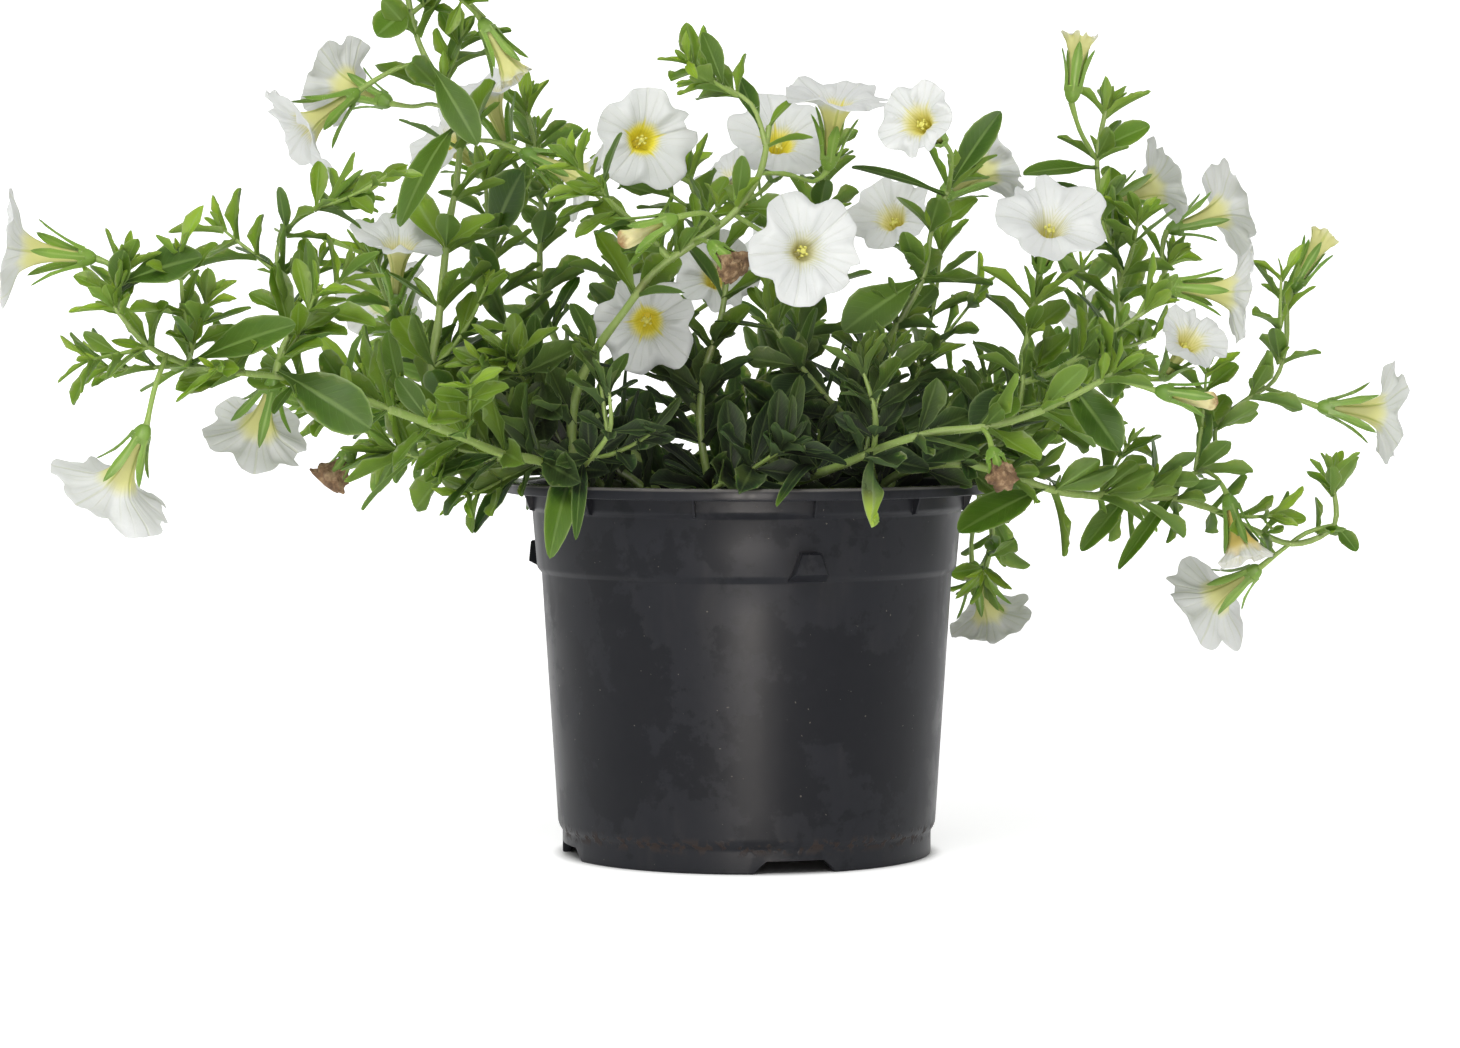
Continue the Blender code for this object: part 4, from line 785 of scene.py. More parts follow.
def between(low, high, share):
    return low + (high - low) * share


def seen(place):
    """A point of the front view, moved along the line of sight to its depth."""
    across, depth, up = place
    scale = 1.0 + depth / EYE_DISTANCE
    return Vector((across * scale, depth, EYE_HEIGHT + (up - EYE_HEIGHT) * scale)) * MM


def branch_path(number, branch, spacing, grown):
    """Points along a branch: the first starts in its hole in the soil, the others on a stem."""
    route = [seen(place) for place in branch.route]
    if number:
        route[0] = nearest_on(grown, route[0])[0]
        return smooth_points(route, spacing)
    foot, top = (Vector((route[0].x, route[0].y, height * MM))
                 for height in (SOIL_TOP - FOOT_DEPTH, SOIL_TOP + FOOT_STRAIGHT))
    return [foot] + smooth_points([top] + route, spacing)


def smooth_points(route, spacing):
    """Points at even distances along a smooth curve through the route's own points."""
    padded = [route[0] * 2 - route[1], *route, route[-1] * 2 - route[-2]]
    dense = []
    steps = 12
    for a, b, c, d in zip(padded, padded[1:], padded[2:], padded[3:]):
        for i in range(steps):
            t = i / steps
            dense.append(0.5 * (2 * b + (c - a) * t + (2 * a - 5 * b + 4 * c - d) * t * t
                                + (3 * b - a - 3 * c + d) * t * t * t))
    dense.append(route[-1].copy())
    return even_points(dense, spacing)


def even_points(line, spacing):
    """Points at even distances along a line of straight runs."""
    run = [0.0]
    for p, q in zip(line, line[1:]):
        run.append(run[-1] + (q - p).length)
    count = max(2, round(run[-1] / spacing))
    points = []
    k = 0
    for i in range(count + 1):
        want = run[-1] * i / count
        while k < len(run) - 2 and run[k + 1] < want:
            k += 1
        share = (want - run[k]) / max(run[k + 1] - run[k], 1e-9)
        points.append(line[k].lerp(line[k + 1], min(max(share, 0.0), 1.0)))
    return points


def bloom_frame(number, bloom):
    """A flower's base, the rotation that takes +Z to its axis, its length and its luck."""
    luck = random.Random(f"bloom {number}")
    axis = Vector(bloom.facing).normalized()
    long = FLOWER_LONG * flower_share(bloom)
    turn = Matrix.Rotation(luck.uniform(0.0, math.tau), 3, "Z")
    spin = axis.to_track_quat("Z", "Y").to_matrix() @ turn
    return seen(bloom.place) - axis * long * MM, spin, long, luck


def flower_share(bloom):
    """How long a flower is against a full one."""
    if bloom.kind == "open":
        return 0.8 + 0.2 * min(bloom.wide, FULL_WIDE) / FULL_WIDE
    return KIND_SHARES[bloom.kind]


def settled(points, base, spin, unit=MM):
    """A flower's points, turned to its axis and moved to its base."""
    return [base + spin @ (p * unit) for p in points]


def pedicel_points(base, axis, paths):
    """The flower's own stalk, from the nearest good place on the stem that carries it."""
    aim = base - axis * PEDICEL_BACK * MM - UP * PEDICEL_DROP * MM
    start, along = nearest_on(paths, aim)
    span = (base - start).length
    leave = (along * 0.4 + (base - start).normalized() * 0.8).normalized() * span
    arrive = axis * span
    points = []
    count = max(2, round(span / (PEDICEL_SPACING * MM)))
    end = base - axis * PEDICEL_SHORT * MM
    for i in range(count + 1):
        t = i / count
        points.append((2 * t**3 - 3 * t**2 + 1) * start + (t**3 - 2 * t**2 + t) * leave
                      + (3 * t**2 - 2 * t**3) * end + (t**3 - t**2) * arrive)
    return points


def nearest_on(paths, aim):
    """The nearest point of some paths, with the direction of growth there."""
    best = None
    for path in paths:
        for p, q in zip(path, path[1:]):
            if q.z < (SOIL_TOP + BARE_FOOT) * MM:
                continue
            span = q - p
            most = 1.0 - TIP_KEPT * MM / span.length if q is path[-1] else 1.0
            share = min(max((aim - p).dot(span) / span.length_squared, 0.0), most)
            point = p + span * share
            away = (point - aim).length
            if best is None or away < best[0]:
                best = (away, point, span.normalized())
    return best[1], best[2]


def leaf_towards(root, axis, hint, long, wide, bend):
    axis = axis.normalized()
    return Leaf(root, axis, square_to(axis, hint), long, wide, bend)


def leaf_reaching(root, tip, wide, bend, hint=Vector((0.0, -0.75, 0.65))):
    """A leaf that starts at its root and, bent, ends at its tip."""
    chord = tip - root
    level = chord.normalized()
    lifted = square_to(level, hint)
    lean = math.atan(-bend)
    return Leaf(root, swung(level, lifted, lean), swung(lifted, -level, lean),
                chord.length * math.cos(lean), wide, bend)


def slot_leaves(luck, point, along, turn, long, tuft, thick):
    """The shapes that a leaf may take at one place, best first."""
    side = (along.orthogonal() if abs(along.z) > 0.95 else along.cross(UP)).normalized()
    choices = []
    for i in range(TRIES):
        angle = turn + i * GOLDEN_TURN * 0.62 + luck.uniform(-0.3, 0.3)
        radial = swung(side, along.cross(side), angle)
        lean = luck.uniform(*(TUFT_LEAN if tuft else LEAF_LEAN))
        axis = swung(along, radial, lean) + UP * luck.uniform(0.0, 0.3)
        hint = along * 0.6 + UP * 0.7 + radial * luck.uniform(-0.2, 0.2)
        length = long * luck.uniform(0.8, 1.12) * (1.0 - 0.05 * i)
        wide = length * luck.uniform(*LEAF_WIDE)
        bend = luck.uniform(*LEAF_BEND)
        root = point - radial * thick * ROOT_DEPTH * MM
        choices.append(leaf_towards(root, axis, hint, length * MM, wide * MM, bend))
    return choices


def branch_slots(name, number, branch, path):
    """Each place for a leaf along a branch, with the shapes that the leaf may take."""
    fine = even_points(path, 1.0 * MM)
    low = (SOIL_TOP + BARE_FOOT) * MM
    start = next((i for i, p in enumerate(fine) if p.z > low), 0)
    start += 4 if number else 2
    slots = []
    index = start
    count = 0
    while index < len(fine) - 3:
        share = (index - start) / max(len(fine) - start, 1)
        long = between(*branch.long, share)
        luck = random.Random(f"{name} {number} {count}")
        along = (fine[index + 1] - fine[index - 1]).normalized()
        thick = branch.thick * (1.0 - 0.5 * index / len(fine))
        shapes = slot_leaves(luck, fine[index], along, count * GOLDEN_TURN, long, False, thick)
        slots.append(Slot(fine[index], along, share * share * 0.7, long, thick, shapes))
        index += max(3, round(branch.every * luck.uniform(1.15, 1.65)))
        count += 1
    end = fine[-1] - (fine[-1] - fine[-3]).normalized() * 1.2 * MM
    along = (fine[-1] - fine[-4]).normalized()
    long, thick = branch.long[1] * 0.85, branch.thick / 2
    for i in range(branch.tuft):
        luck = random.Random(f"{name} {number} tuft {i}")
        shapes = slot_leaves(luck, end, along, i * GOLDEN_TURN, long, True, thick)
        slots.append(Slot(end, along, TUFT_YOUNG, long, thick, shapes))
    return slots


def hold(mesh, label, kind, values):
    """Gives a mesh a value for each of its points."""
    key = "vector" if kind == "FLOAT_VECTOR" else "value"
    mesh.attributes.new(label, kind, "POINT").data.foreach_set(key, values)


def bare_mesh(name, points, edges=(), faces=(), **numbers):
    mesh = bpy.data.meshes.new(name)
    mesh.from_pydata([tuple(p) for p in points], edges, faces)
    for label, held in numbers.items():
        hold(mesh, label, "FLOAT", held)
    return mesh


class Shape:
    """The points and faces of a mesh, with one number for each point under each label."""

    def __init__(self, *labels):
        self.points = []
        self.faces = []
        self.numbers = {label: [] for label in labels}

    def add(self, points, faces, **numbers):
        """Adds a body; a number may be one for all its points or a list."""
        first = len(self.points)
        self.points += points
        self.faces += [tuple(first + i for i in face) for face in faces]
        for label, held in self.numbers.items():
            value = numbers[label]
            held += value if isinstance(value, list) else [value] * len(points)

    def mesh(self, name, material, sharp=60.0):
        mesh = bare_mesh(name, self.points, (), self.faces, **self.numbers)
        mesh.materials.append(material)
        mesh.shade_smooth()
        mesh.set_sharp_from_angle(angle=math.radians(sharp))
        return mesh


def put(name, data):
    """An object in the scene that holds some data."""
    obj = bpy.data.objects.new(name, data)
    bpy.context.scene.collection.objects.link(obj)
    return obj


def join(name, meshes):
    """One object that holds several meshes, each with its own materials."""
    objects = [put(name, mesh) for mesh in meshes]
    with bpy.context.temp_override(active_object=objects[0], selected_editable_objects=objects):
        bpy.ops.object.join()
    objects[0].name = name
    return objects[0]


def finish_piece(obj, slot, *nodes):
    """Puts a piece on the plant's body in the place of some nodes."""
    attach(obj, "root")
    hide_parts(*nodes)


class Tree(Nodes):
    """Geometry nodes with named inputs, of which the last is the material."""

    def __init__(self, name, **inputs):
        super().__init__(bpy.data.node_groups.new(name, "GeometryNodeTree"))
        panel = self.graph.interface
        panel.new_socket("Geometry", in_out="OUTPUT", socket_type="NodeSocketGeometry")
        for label, kind in {"Geometry": "Geometry", **inputs, "Material": "Material"}.items():
            panel.new_socket(label, in_out="INPUT", socket_type=f"NodeSocket{kind}")
        self.entry = self.graph.nodes.new("NodeGroupInput")

    def given(self, label):
        return Wire(self, self.entry.outputs[label])

    def held(self, label, kind="FLOAT"):
        """What the points hold under a label."""
        return self.make("GeometryNodeInputNamedAttribute", {"Name": label}, data_type=kind)

    def strewn(self):
        """Points over the surface at the given density."""
        return self.make("GeometryNodeDistributePointsOnFaces",
                         {"Mesh": self.given("Geometry"), "Density": self.given("Density"),
                          "Seed": self.given("Seed")})

    def copies(self, points, shape, **values):
        """Ends the tree with copies of a shape on some points."""
        values = {label.replace("_", " "): value for label, value in values.items()}
        return self.end(self.make("GeometryNodeInstanceOnPoints",
                                  {"Points": points, "Instance": shape, **values}))

    def end(self, geometry):
        """Realizes the result, gives it its material and sends it out."""
        real = self.make("GeometryNodeRealizeInstances", {"Geometry": geometry})
        done = self.make("GeometryNodeSetMaterial",
                         {"Geometry": real, "Material": self.given("Material")})
        leave = self.graph.nodes.new("NodeGroupOutput")
        self.plug(leave.inputs["Geometry"], done)
        return self


def grow(host, tree, **values):
    """Runs a tree on an object and gives the plain mesh that it makes."""
    modifier = host.modifiers.new("tree", "NODES")
    modifier.node_group = tree.graph
    for item in tree.graph.interface.items_tree:
        if item.in_out == "INPUT" and item.name in values:
            modifier[item.identifier] = values[item.name]
    graph = bpy.context.evaluated_depsgraph_get()
    mesh = bpy.data.meshes.new_from_object(host.evaluated_get(graph),
                                           preserve_all_data_layers=True, depsgraph=graph)
    bpy.data.objects.remove(host)
    return mesh


def stalk_tree():
    """Round stalks along lines of points that hold their thickness."""
    tree = Tree("stalks", Spacing="Float", Sides="Int")
    lines = tree.make("GeometryNodeMeshToCurve", {"Mesh": tree.given("Geometry")})
    lines = tree.make("GeometryNodeCurveSplineType", {"Curve": lines}, spline_type="CATMULL_ROM")
    lines = tree.make("GeometryNodeResampleCurve",
                      {"Curve": lines, "Length": tree.given("Spacing")}, mode="LENGTH")
    wobble = tree.make("ShaderNodeTexNoise", {"Scale": 160.0, "Detail": 1.0})
    share = tree.make("ShaderNodeMapRange", {0: wobble, 1: 0.3, 2: 0.7, 3: 0.86, 4: 1.14})
    ring = tree.make("GeometryNodeCurvePrimitiveCircle",
                     {"Resolution": tree.given("Sides"), "Radius": 1.0})
    tubes = tree.make("GeometryNodeCurveToMesh",
                      {"Curve": lines, "Profile Curve": ring, "Scale": tree.held("thick") * share,
                       "Fill Caps": True})
    return tree.end(tree.make("GeometryNodeSetShadeSmooth", {"Geometry": tubes}))


def scatter_tree():
    """Copies of some shapes on points that hold each copy's number, turn and size."""
    tree = Tree("scatter", Shapes="Collection")
    shapes = tree.make("GeometryNodeCollectionInfo",
                       {"Collection": tree.given("Shapes"), "Separate Children": True,
                        "Reset Children": True})
    points = tree.make("GeometryNodeMeshToPoints", {"Mesh": tree.given("Geometry")})
    return tree.copies(points, shapes, Pick_Instance=True,
                       Instance_Index=tree.held("kind", "INT"),
                       Rotation=tree.held("turn", "QUATERNION"),
                       Scale=tree.held("size", "FLOAT_VECTOR"))


def crumb_tree():
    """Rough crumbs strewn over a surface."""
    tree = Tree("crumbs", Density="Float", Seed="Int")
    crumb = tree.make("GeometryNodeMeshIcoSphere", {"Radius": 1.0, "Subdivisions": 1})
    turn = tree.make("FunctionNodeRandomValue",
                     {0: (0.0, 0.0, 0.0), 1: (6.3, 6.3, 6.3), "Seed": tree.given("Seed")},
                     data_type="FLOAT_VECTOR")
    size = tree.make("FunctionNodeRandomValue",
                     {0: (0.0003, 0.0003, 0.0003), 1: (0.0022, 0.0015, 0.0011), "Seed": 5},
                     data_type="FLOAT_VECTOR")
    return tree.copies(tree.strewn(), crumb, Rotation=turn, Scale=size)


def hair_tree():
    """Short fine hairs that stand out of a surface."""
    tree = Tree("hairs", Density="Float", Long="Float", Seed="Int")
    points = tree.strewn()
    long = tree.given("Long")
    hair = tree.make("GeometryNodeMeshCone", {"Vertices": 3, "Radius Top": 0.0,
                                              "Radius Bottom": long * 0.055, "Depth": long})
    size = tree.make("FunctionNodeRandomValue", {2: 0.5, 3: 1.2, "Seed": tree.given("Seed")}, 1,
                     data_type="FLOAT")
    turn = Wire(tree, points.socket.node.outputs["Rotation"])
    return tree.copies(points, hair, Rotation=turn, Scale=size)


def rib_tree():
    """Copies of the input evenly round the pot's axis."""
    tree = Tree("ring of ribs", Count="Int")
    count = tree.given("Count")
    ring = tree.make("GeometryNodeMeshCircle", {"Vertices": count, "Radius": 0.0})
    number = tree.make("GeometryNodeInputIndex", {})
    turn = tree.make("ShaderNodeCombineXYZ", {"Z": number / count * math.tau})
    return tree.copies(ring, tree.given("Geometry"), Rotation=turn)


def skin(counts):
    """Faces between rings of points from the foot up, by how many each has; it may be one."""
    ends = list(accumulate(counts))
    rings = [range(end - count, end) for count, end in zip(counts, ends)]
    faces = []
    for low, high in zip(rings, rings[1:]):
        count = max(len(low), len(high))
        for i in range(count):
            j = (i + 1) % count
            if len(low) == 1:
                faces.append((low[0], high[j], high[i]))
            elif len(high) == 1:
                faces.append((low[i], low[j], high[0]))
            else:
                faces.append((low[i], low[j], high[j], high[i]))
    return faces


def turned(profile, columns, reach=None):
    """A surface of revolution from (radius, height) pairs, from its foot round to its end.

    reach may change a point's radius and height by its angle and its row.
    """
    points = []
    counts = [1 if radius == 0.0 else columns for radius, height in profile]
    for row, (radius, height) in enumerate(profile):
        for i in range(counts[row]):
            turn = math.tau * i / columns
            r, z = reach(turn, row, radius, height) if reach else (radius, height)
            points.append(polar(r, turn, z))
    return points, skin(counts)


def station(leaf, share, twist, roll):
    """The spine of a leaf at a share of its length, with the directions across and up there."""
    kept = min(share, ROLL_FROM) if roll else share
    spine = leaf.root + leaf.long * (kept * leaf.axis + leaf.bend * kept * kept * leaf.face)
    face = (leaf.face - 2.0 * leaf.bend * kept * leaf.axis).normalized()
    turn = Matrix.Rotation(twist * kept, 3, leaf.axis)
    side, up = turn @ leaf.face.cross(leaf.axis), turn @ face
    if share > kept:
        ahead = up.cross(side)
        angle = roll * (share - kept) / (1.0 - kept)
        size = leaf.long * (1.0 - kept) / roll
        spine += (ahead * math.sin(angle) + up * (1.0 - math.cos(angle))) * size
        up = swung(up, -ahead, angle)
    return spine, side, up


def blade(leaf, outline, ribs, thick, twist=0.0, wave=0.0, roll=0.0):
    """A thin leaf over a leaf's spine: points, faces, and how far along and across each is."""
    points, along, aside, under = [], [], [], []
    around = 2 * len(ribs) - 2
    for share, width in outline:
        spine, side, up = station(leaf, share, twist, roll)
        half = leaf.wide / 2 * width
        body = thick * (1.0 + 1.4 * (1.0 - share) ** 4)
        half = max(half, body * 0.7) if share < 0.3 else half
        swell = wave * half * math.sin(11.0 * share + 40.0 * leaf.wide / leaf.long)
        for v in ribs:
            rise = (0.24 * abs(v) ** 1.5 - 0.07 * abs(v) ** 6) * half + swell * v * abs(v)
            points.append(spine + side * half * v + up * (rise + body * 0.5))
            under.append(0.5 if abs(v) == 1.0 else 0.0)
            aside.append(v)
        for v in reversed(ribs[1:-1]):
            rise = 0.24 * abs(v) ** 1.5 * half + swell * v * abs(v)
            keel = body * (1.5 if v == 0.0 else 0.9)
            points.append(spine + side * half * v + up * (rise + body * 0.5 - keel))
            under.append(1.0)
            aside.append(v)
        along += [share] * around
    points.append(station(leaf, 1.0, twist, roll)[0])
    faces = skin([around] * len(outline) + [1]) + [tuple(reversed(range(around)))]
    return points, faces, {"along": along + [1.0], "across": aside + [0.0],
                           "under": under + [0.5]}


def finer(outline, spacing):
    """An outline with more rows, none further apart than the spacing."""
    rows = []
    for (low, narrow), (high, wide) in zip(outline, outline[1:]):
        count = math.ceil((high - low) / spacing)
        rows += [(low + (high - low) * i / count, narrow + (wide - narrow) * i / count)
                 for i in range(count)]
    return rows + [outline[-1]]


def tip_finder(name):
    """The points of a stem as packed, where each leaf that found room still has its tip."""
    verts = NODES[f"stem_{name}"].data.vertices
    tree = KDTree(len(verts))
    for i, vert in enumerate(verts):
        tree.insert(vert.co, i)
    tree.balance()
    return tree


def grown_leaf(finder, choices):
    """The shape that a leaf took, if it found room."""
    for leaf in choices:
        tip = leaf.root + leaf.long * (leaf.axis + leaf.bend * leaf.face)
        if finder.find(tip)[2] < TIP_SEEN * MM:
            return leaf
    return None


def in_pot(point):
    """Whether a point lies in the pot's wall or rim, or under the top of the soil."""
    away = math.hypot(point.x, point.y) / MM
    height = point.z / MM
    if away > RIM_RADIUS + RIM_GAP or height > RIM_TOP + 1.0:
        return False
    return away > UPPER_RADIUS - WALL - 1.5 or height < SOIL_TOP + 2.0


def clear_of_pot(point):
    """A leaf's point, moved off the pot's wall or rim where it would lie in it."""
    away = math.hypot(point.x, point.y) / MM
    inner = UPPER_RADIUS - WALL - WALL_GAP
    outer = RIM_RADIUS + RIM_GAP
    if point.z / MM > RIM_TOP + 0.6 or not inner < away < outer:
        return point
    aim = inner if away < (inner + outer) / 2 else outer
    return Vector((point.x * aim / away, point.y * aim / away, point.z))


def in_view(point):
    """Where the front view shows a point, as a share of its distance, and that distance."""
    away = point.y + EYE_DISTANCE * MM
    return Vector((point.x / away, (point.z - EYE_HEIGHT * MM) / away)), away


def front_flowers():
    """The open flowers that look at the front view: place, distance and seen radius of each."""
    shown = []
    for bloom in BLOOMS:
        if bloom.kind == "open" and Vector(bloom.facing).normalized().y < -FACING_FRONT:
            place, away = in_view(seen(bloom.place))
            shown.append((place, away, bloom.wide / 2 * MM * FLOWER_CLEAR / away))
    return shown


def veils(point):
    """Whether a point stands before a flower that looks at the front view."""
    place, away = in_view(point)
    return any(away < depth + 6.0 * MM and (place - centre).length < reach
               for centre, depth, reach in SHOWN)


class Foliage:
    """One stem's leaves, with the places of its small leaves and the lines of its stalks."""

    def __init__(self):
        self.leaves = Shape("along", "across", "under", "young", "tone", "shade")
        self.small = []
        self.lines = []

    def add_leaf(self, leaf, young, luck, twist=0.0, roll=0.0):
        thick = LEAF_THICK * MM * (0.7 + leaf.long / (60.0 * MM))
        leaf = leaf._replace(wide=leaf.wide * LEAF_SPREAD)
        outline = finer(LEAF_OUTLINE, 0.03) if roll else LEAF_OUTLINE
        tone, sway = luck.random(), luck.uniform(-0.35, 0.35)
        points, faces, numbers = blade(leaf, outline, LEAF_RIBS, thick,
                                       twist if roll else twist + sway,
                                       luck.uniform(-0.16, 0.16), roll)
        points = [clear_of_pot(point) for point in points]
        self.leaves.add(points, faces, young=young, tone=tone, shade=tone, **numbers)

    def add_small(self, point, axis, hint, long, wide, young, luck):
        """A small leaf, of one of the patterns, where it hides no flower and clears the pot."""
        axis = axis.normalized()
        if any(in_pot(place) or veils(place) for place in (point + axis * long * 0.55,
                                                           point + axis * long)):
            return
        fresh = young > YOUNG_FROM
        outward = Vector((point.x * 0.4, point.y, 0.0)).normalized()
        hint = hint.normalized() + outward * SMALL_OUTWARD * (0.4 if fresh else 1.0)
        up = square_to(axis, hint)
        turn = Matrix((axis.cross(up), axis, up)).transposed().to_quaternion()
        kind = luck.randrange(SMALL_KINDS) + (SMALL_KINDS if fresh else 0)
        self.small.append((point, turn, (wide, long, long), kind, luck.random()))

    def add_tuft(self, point, along, side, count, sizes, young, luck):
        """A cluster of small leaves round a direction, the youngest upright in its middle."""
        for i in range(count):
            share = i / max(count - 1, 1)
            angle = i * GOLDEN_TURN + luck.uniform(-0.4, 0.4)
            radial = swung(side, along.cross(side), angle)
            lean = 0.18 + 0.85 * (1.0 - share) + luck.uniform(-0.15, 0.15)
            axis = swung(along, radial, lean) + UP * 0.1
            long = between(*sizes, share) * luck.uniform(0.8, 1.2)
            age = young + (1.0 - young) * share * 0.8
            wide = long * luck.uniform(*(YOUNG_WIDE if age > YOUNG_FROM else SMALL_WIDE))
            place = point + along * luck.uniform(-0.6, 1.4) * MM
            self.add_small(place, axis, along + UP * 0.5 - radial * 0.3, long * MM, wide * MM, age,
                           luck)

    def add_sprig(self, point, axis, long, young, luck):
        """A short side shoot: a thin stalk with a few pairs of small leaves and a tuft."""
        side = axis.orthogonal().normalized()
        sway = (side * luck.uniform(-1.0, 1.0) + UP * 0.7) * 0.22
        line = [point + (axis + sway * t) * long * t for t in (0.0, 0.25, 0.5, 0.75, 1.0)]
        if any(in_pot(place) or veils(place) for place in line[2:]):
            return
        self.lines.append((line, [radius * MM for radius in SPRIG_RADII], 0.6))
        for k, share in enumerate((0.45, 0.8)):
            place = point + (axis + sway * share) * long * share
            for i in range(2):
                angle = (2.4 * k + 3.1 * i) + luck.uniform(-0.4, 0.4)
                radial = swung(side, axis.cross(side), angle)
                way = swung(axis, radial, luck.uniform(0.6, 1.1)) + UP * 0.15
                size = luck.uniform(*SPRIG_LEAF) * (1.0 - 0.25 * share) * MM
                wide = size * luck.uniform(0.36, 0.46)
                self.add_small(place, way, axis + UP * 0.4, size, wide, young, luck)
        self.add_tuft(line[-1] - axis * MM, axis, side, 4, (12.0, 6.0), young + 0.2, luck)


def grow_foliage(name, branches, paths, blooms):
    """All that grows on one stem apart from its flowers, their cups and their sepals."""
    finder = tip_finder(name)
    green = Foliage()
    for root, tip, wide, *bend in FRONT_LEAVES.get(name, ()):
        start = nearest_on(paths, seen(root))[0]
        leaf = leaf_reaching(start, seen(tip), wide * MM, *(bend or [BEND_USUAL]))
        twist, young, roll = TWISTED.get(tip, (0.0, 0.12, 0.0))
        if grown_leaf(finder, [leaf]):
            green.add_leaf(leaf, young, random.Random(f"front {tip}"), twist, roll)
    for number, (branch, path) in enumerate(zip(branches, paths)):
        last = len(path) - 1
        radii = [branch.thick * MM * (1.0 - 0.5 * i / last) * 0.94 for i in range(last + 1)]
        green.lines.append((path, radii, 0.15))
        for i, slot in enumerate(branch_slots(name, number, branch, path)):
            luck = random.Random(f"{name} {number} looks {i}")
            leaf = grown_leaf(finder, slot.shapes)
            if leaf:
                green.add_leaf(leaf, slot.young * luck.uniform(0.5, 1.0), luck)
            dress_slot(green, slot, leaf, luck)
        if branch.tuft:
            along = (path[-1] - path[-2]).normalized()
            luck = random.Random(f"{name} {number} sheaf")
            sizes = (branch.long[1] * 0.95, branch.long[1] * 0.45)
            side = along.orthogonal().normalized()
            green.add_tuft(path[-1] - along * MM, along, side, SHEAF, sizes, 0.55, luck)
    for number, bloom in blooms:
        base, spin = bloom_frame(number, bloom)[:2]
        points = pedicel_points(base, spin @ UP, paths)
        radii = [PEDICEL_RADIUS * MM] * (len(points) - 1) + [PEDICEL_TOP * MM]
        green.lines.append((points, radii, 0.75))
    return green


def dress_slot(green, slot, leaf, luck):
    """The small leaves in a leaf's armpit, and now and then a side shoot."""
    if slot.young >= TUFT_YOUNG:
        return
    side = slot.along.cross(UP)
    side = side.normalized() if side.length > 0.1 else slot.along.orthogonal().normalized()
    if leaf:
        away = square_to(slot.along, leaf.axis)
    else:
        away = swung(side, slot.along.cross(side), luck.uniform(0.0, math.tau))
    axis = (slot.along * 0.7 + away * 0.8 + UP * 0.25).normalized()
    place = slot.point + away * slot.thick * 0.3 * MM
    size = slot.long * 0.72
    young = 0.15 + slot.young
    green.add_tuft(place, axis, side, luck.choice(TUFT_COUNTS), (size, size * 0.5), young, luck)
    for turn in (-0.9, 0.9):
        lean = luck.uniform(0.8, 1.3)
        way = Matrix.Rotation(turn, 3, slot.along) @ -away
        other = swung(slot.along, way, lean) + UP * 0.15
        long = slot.long * luck.uniform(0.7, 1.05) * MM
        wide = long * luck.uniform(0.34, 0.46)
        green.add_small(slot.point, other, slot.along + UP * 0.6, long, wide, young * 0.4, luck)
    if luck.random() < SPRIG_SHARE and slot.young < 0.6:
        green.add_sprig(place, axis, luck.uniform(*SPRIG_LONG) * MM, 0.45, luck)


def calyx_shape(blooms):
    """The green cups and pointed sepals of one stem's flowers."""
    shape = Shape("along", "across", "tone")
    step = math.tau / PETALS
    for number, bloom in blooms:
        base, spin, _, luck = bloom_frame(number, bloom)
        spread = luck.uniform(0.85, 1.2)
        if bloom.kind != "open":
            spread *= 0.75
        ends = [polar(SEPAL_REACH * spread, (i + 1) * step, SEPAL_TOP) for i in range(PETALS)]
        stretch = 0.75 if bloom.kind == "withered" else SEPAL_STRETCH
        tips = [p * luck.uniform(0.9, 1.1) * stretch for p in ends]
        tone = luck.random()
        points, faces = turned(CUP_PROFILE, 20, cup_reach)
        shape.add(settled(points, base, spin), faces, along=0.1, across=0.4, tone=tone)
        for i, tip in enumerate(tips):
            inward = polar(-1.0, (i + 1) * step)
            root = inward * -2.15 + UP * 2.0
            leaf = leaf_reaching(root * MM, tip * MM, luck.uniform(*SEPAL_WIDE) * MM,
                                 luck.uniform(*SEPAL_BEND), inward)
            points, faces, numbers = blade(leaf, SEPAL_OUTLINE, SEPAL_RIBS, SEPAL_THICK * MM,
                                           luck.uniform(-0.4, 0.4), 0.1)
            shape.add(settled(points, base, spin, 1.0), faces, tone=tone, **numbers)
    return shape


def cup_reach(turn, row, radius, height):
    """Five soft ribs round the cup."""
    return radius * (1.0 + 0.06 * math.cos(5.0 * turn)), height


def edge_of(luck, bloom, long):
    """The limb's edge as the distance from the axis and the height, at each angle."""
    reach = bloom.wide / 2.0
    rough = 0.25 if bloom.kind == "withered" else 0.06
    waves = 0.9 if bloom.kind in ("open", "half_open") else 0.6
    keys = []
    for i in range(PETALS):
        for turn, share in ((0.5, 0.82), (0.8, 1.0), (1.2, 1.0)):
            radius = reach * share * luck.uniform(1.0 - rough, 1.0 + rough)
            rise = long + luck.uniform(-waves, waves) - (0.4 if share < 1.0 else 0.0)
            keys.append((i + turn, radius, rise))
    keys = [(keys[-1][0] - PETALS, *keys[-1][1:])] + keys + [(keys[0][0] + PETALS, *keys[0][1:])]

    def edge(turn):
        turn = (turn / math.tau * PETALS) % PETALS
        for low, high in zip(keys, keys[1:]):
            if low[0] <= turn < high[0]:
                share = (turn - low[0]) / (high[0] - low[0])
                share = share * share * (3.0 - 2.0 * share)
                return between(low[1], high[1], share), between(low[2], high[2], share)
        return keys[-1][1:]

    return edge


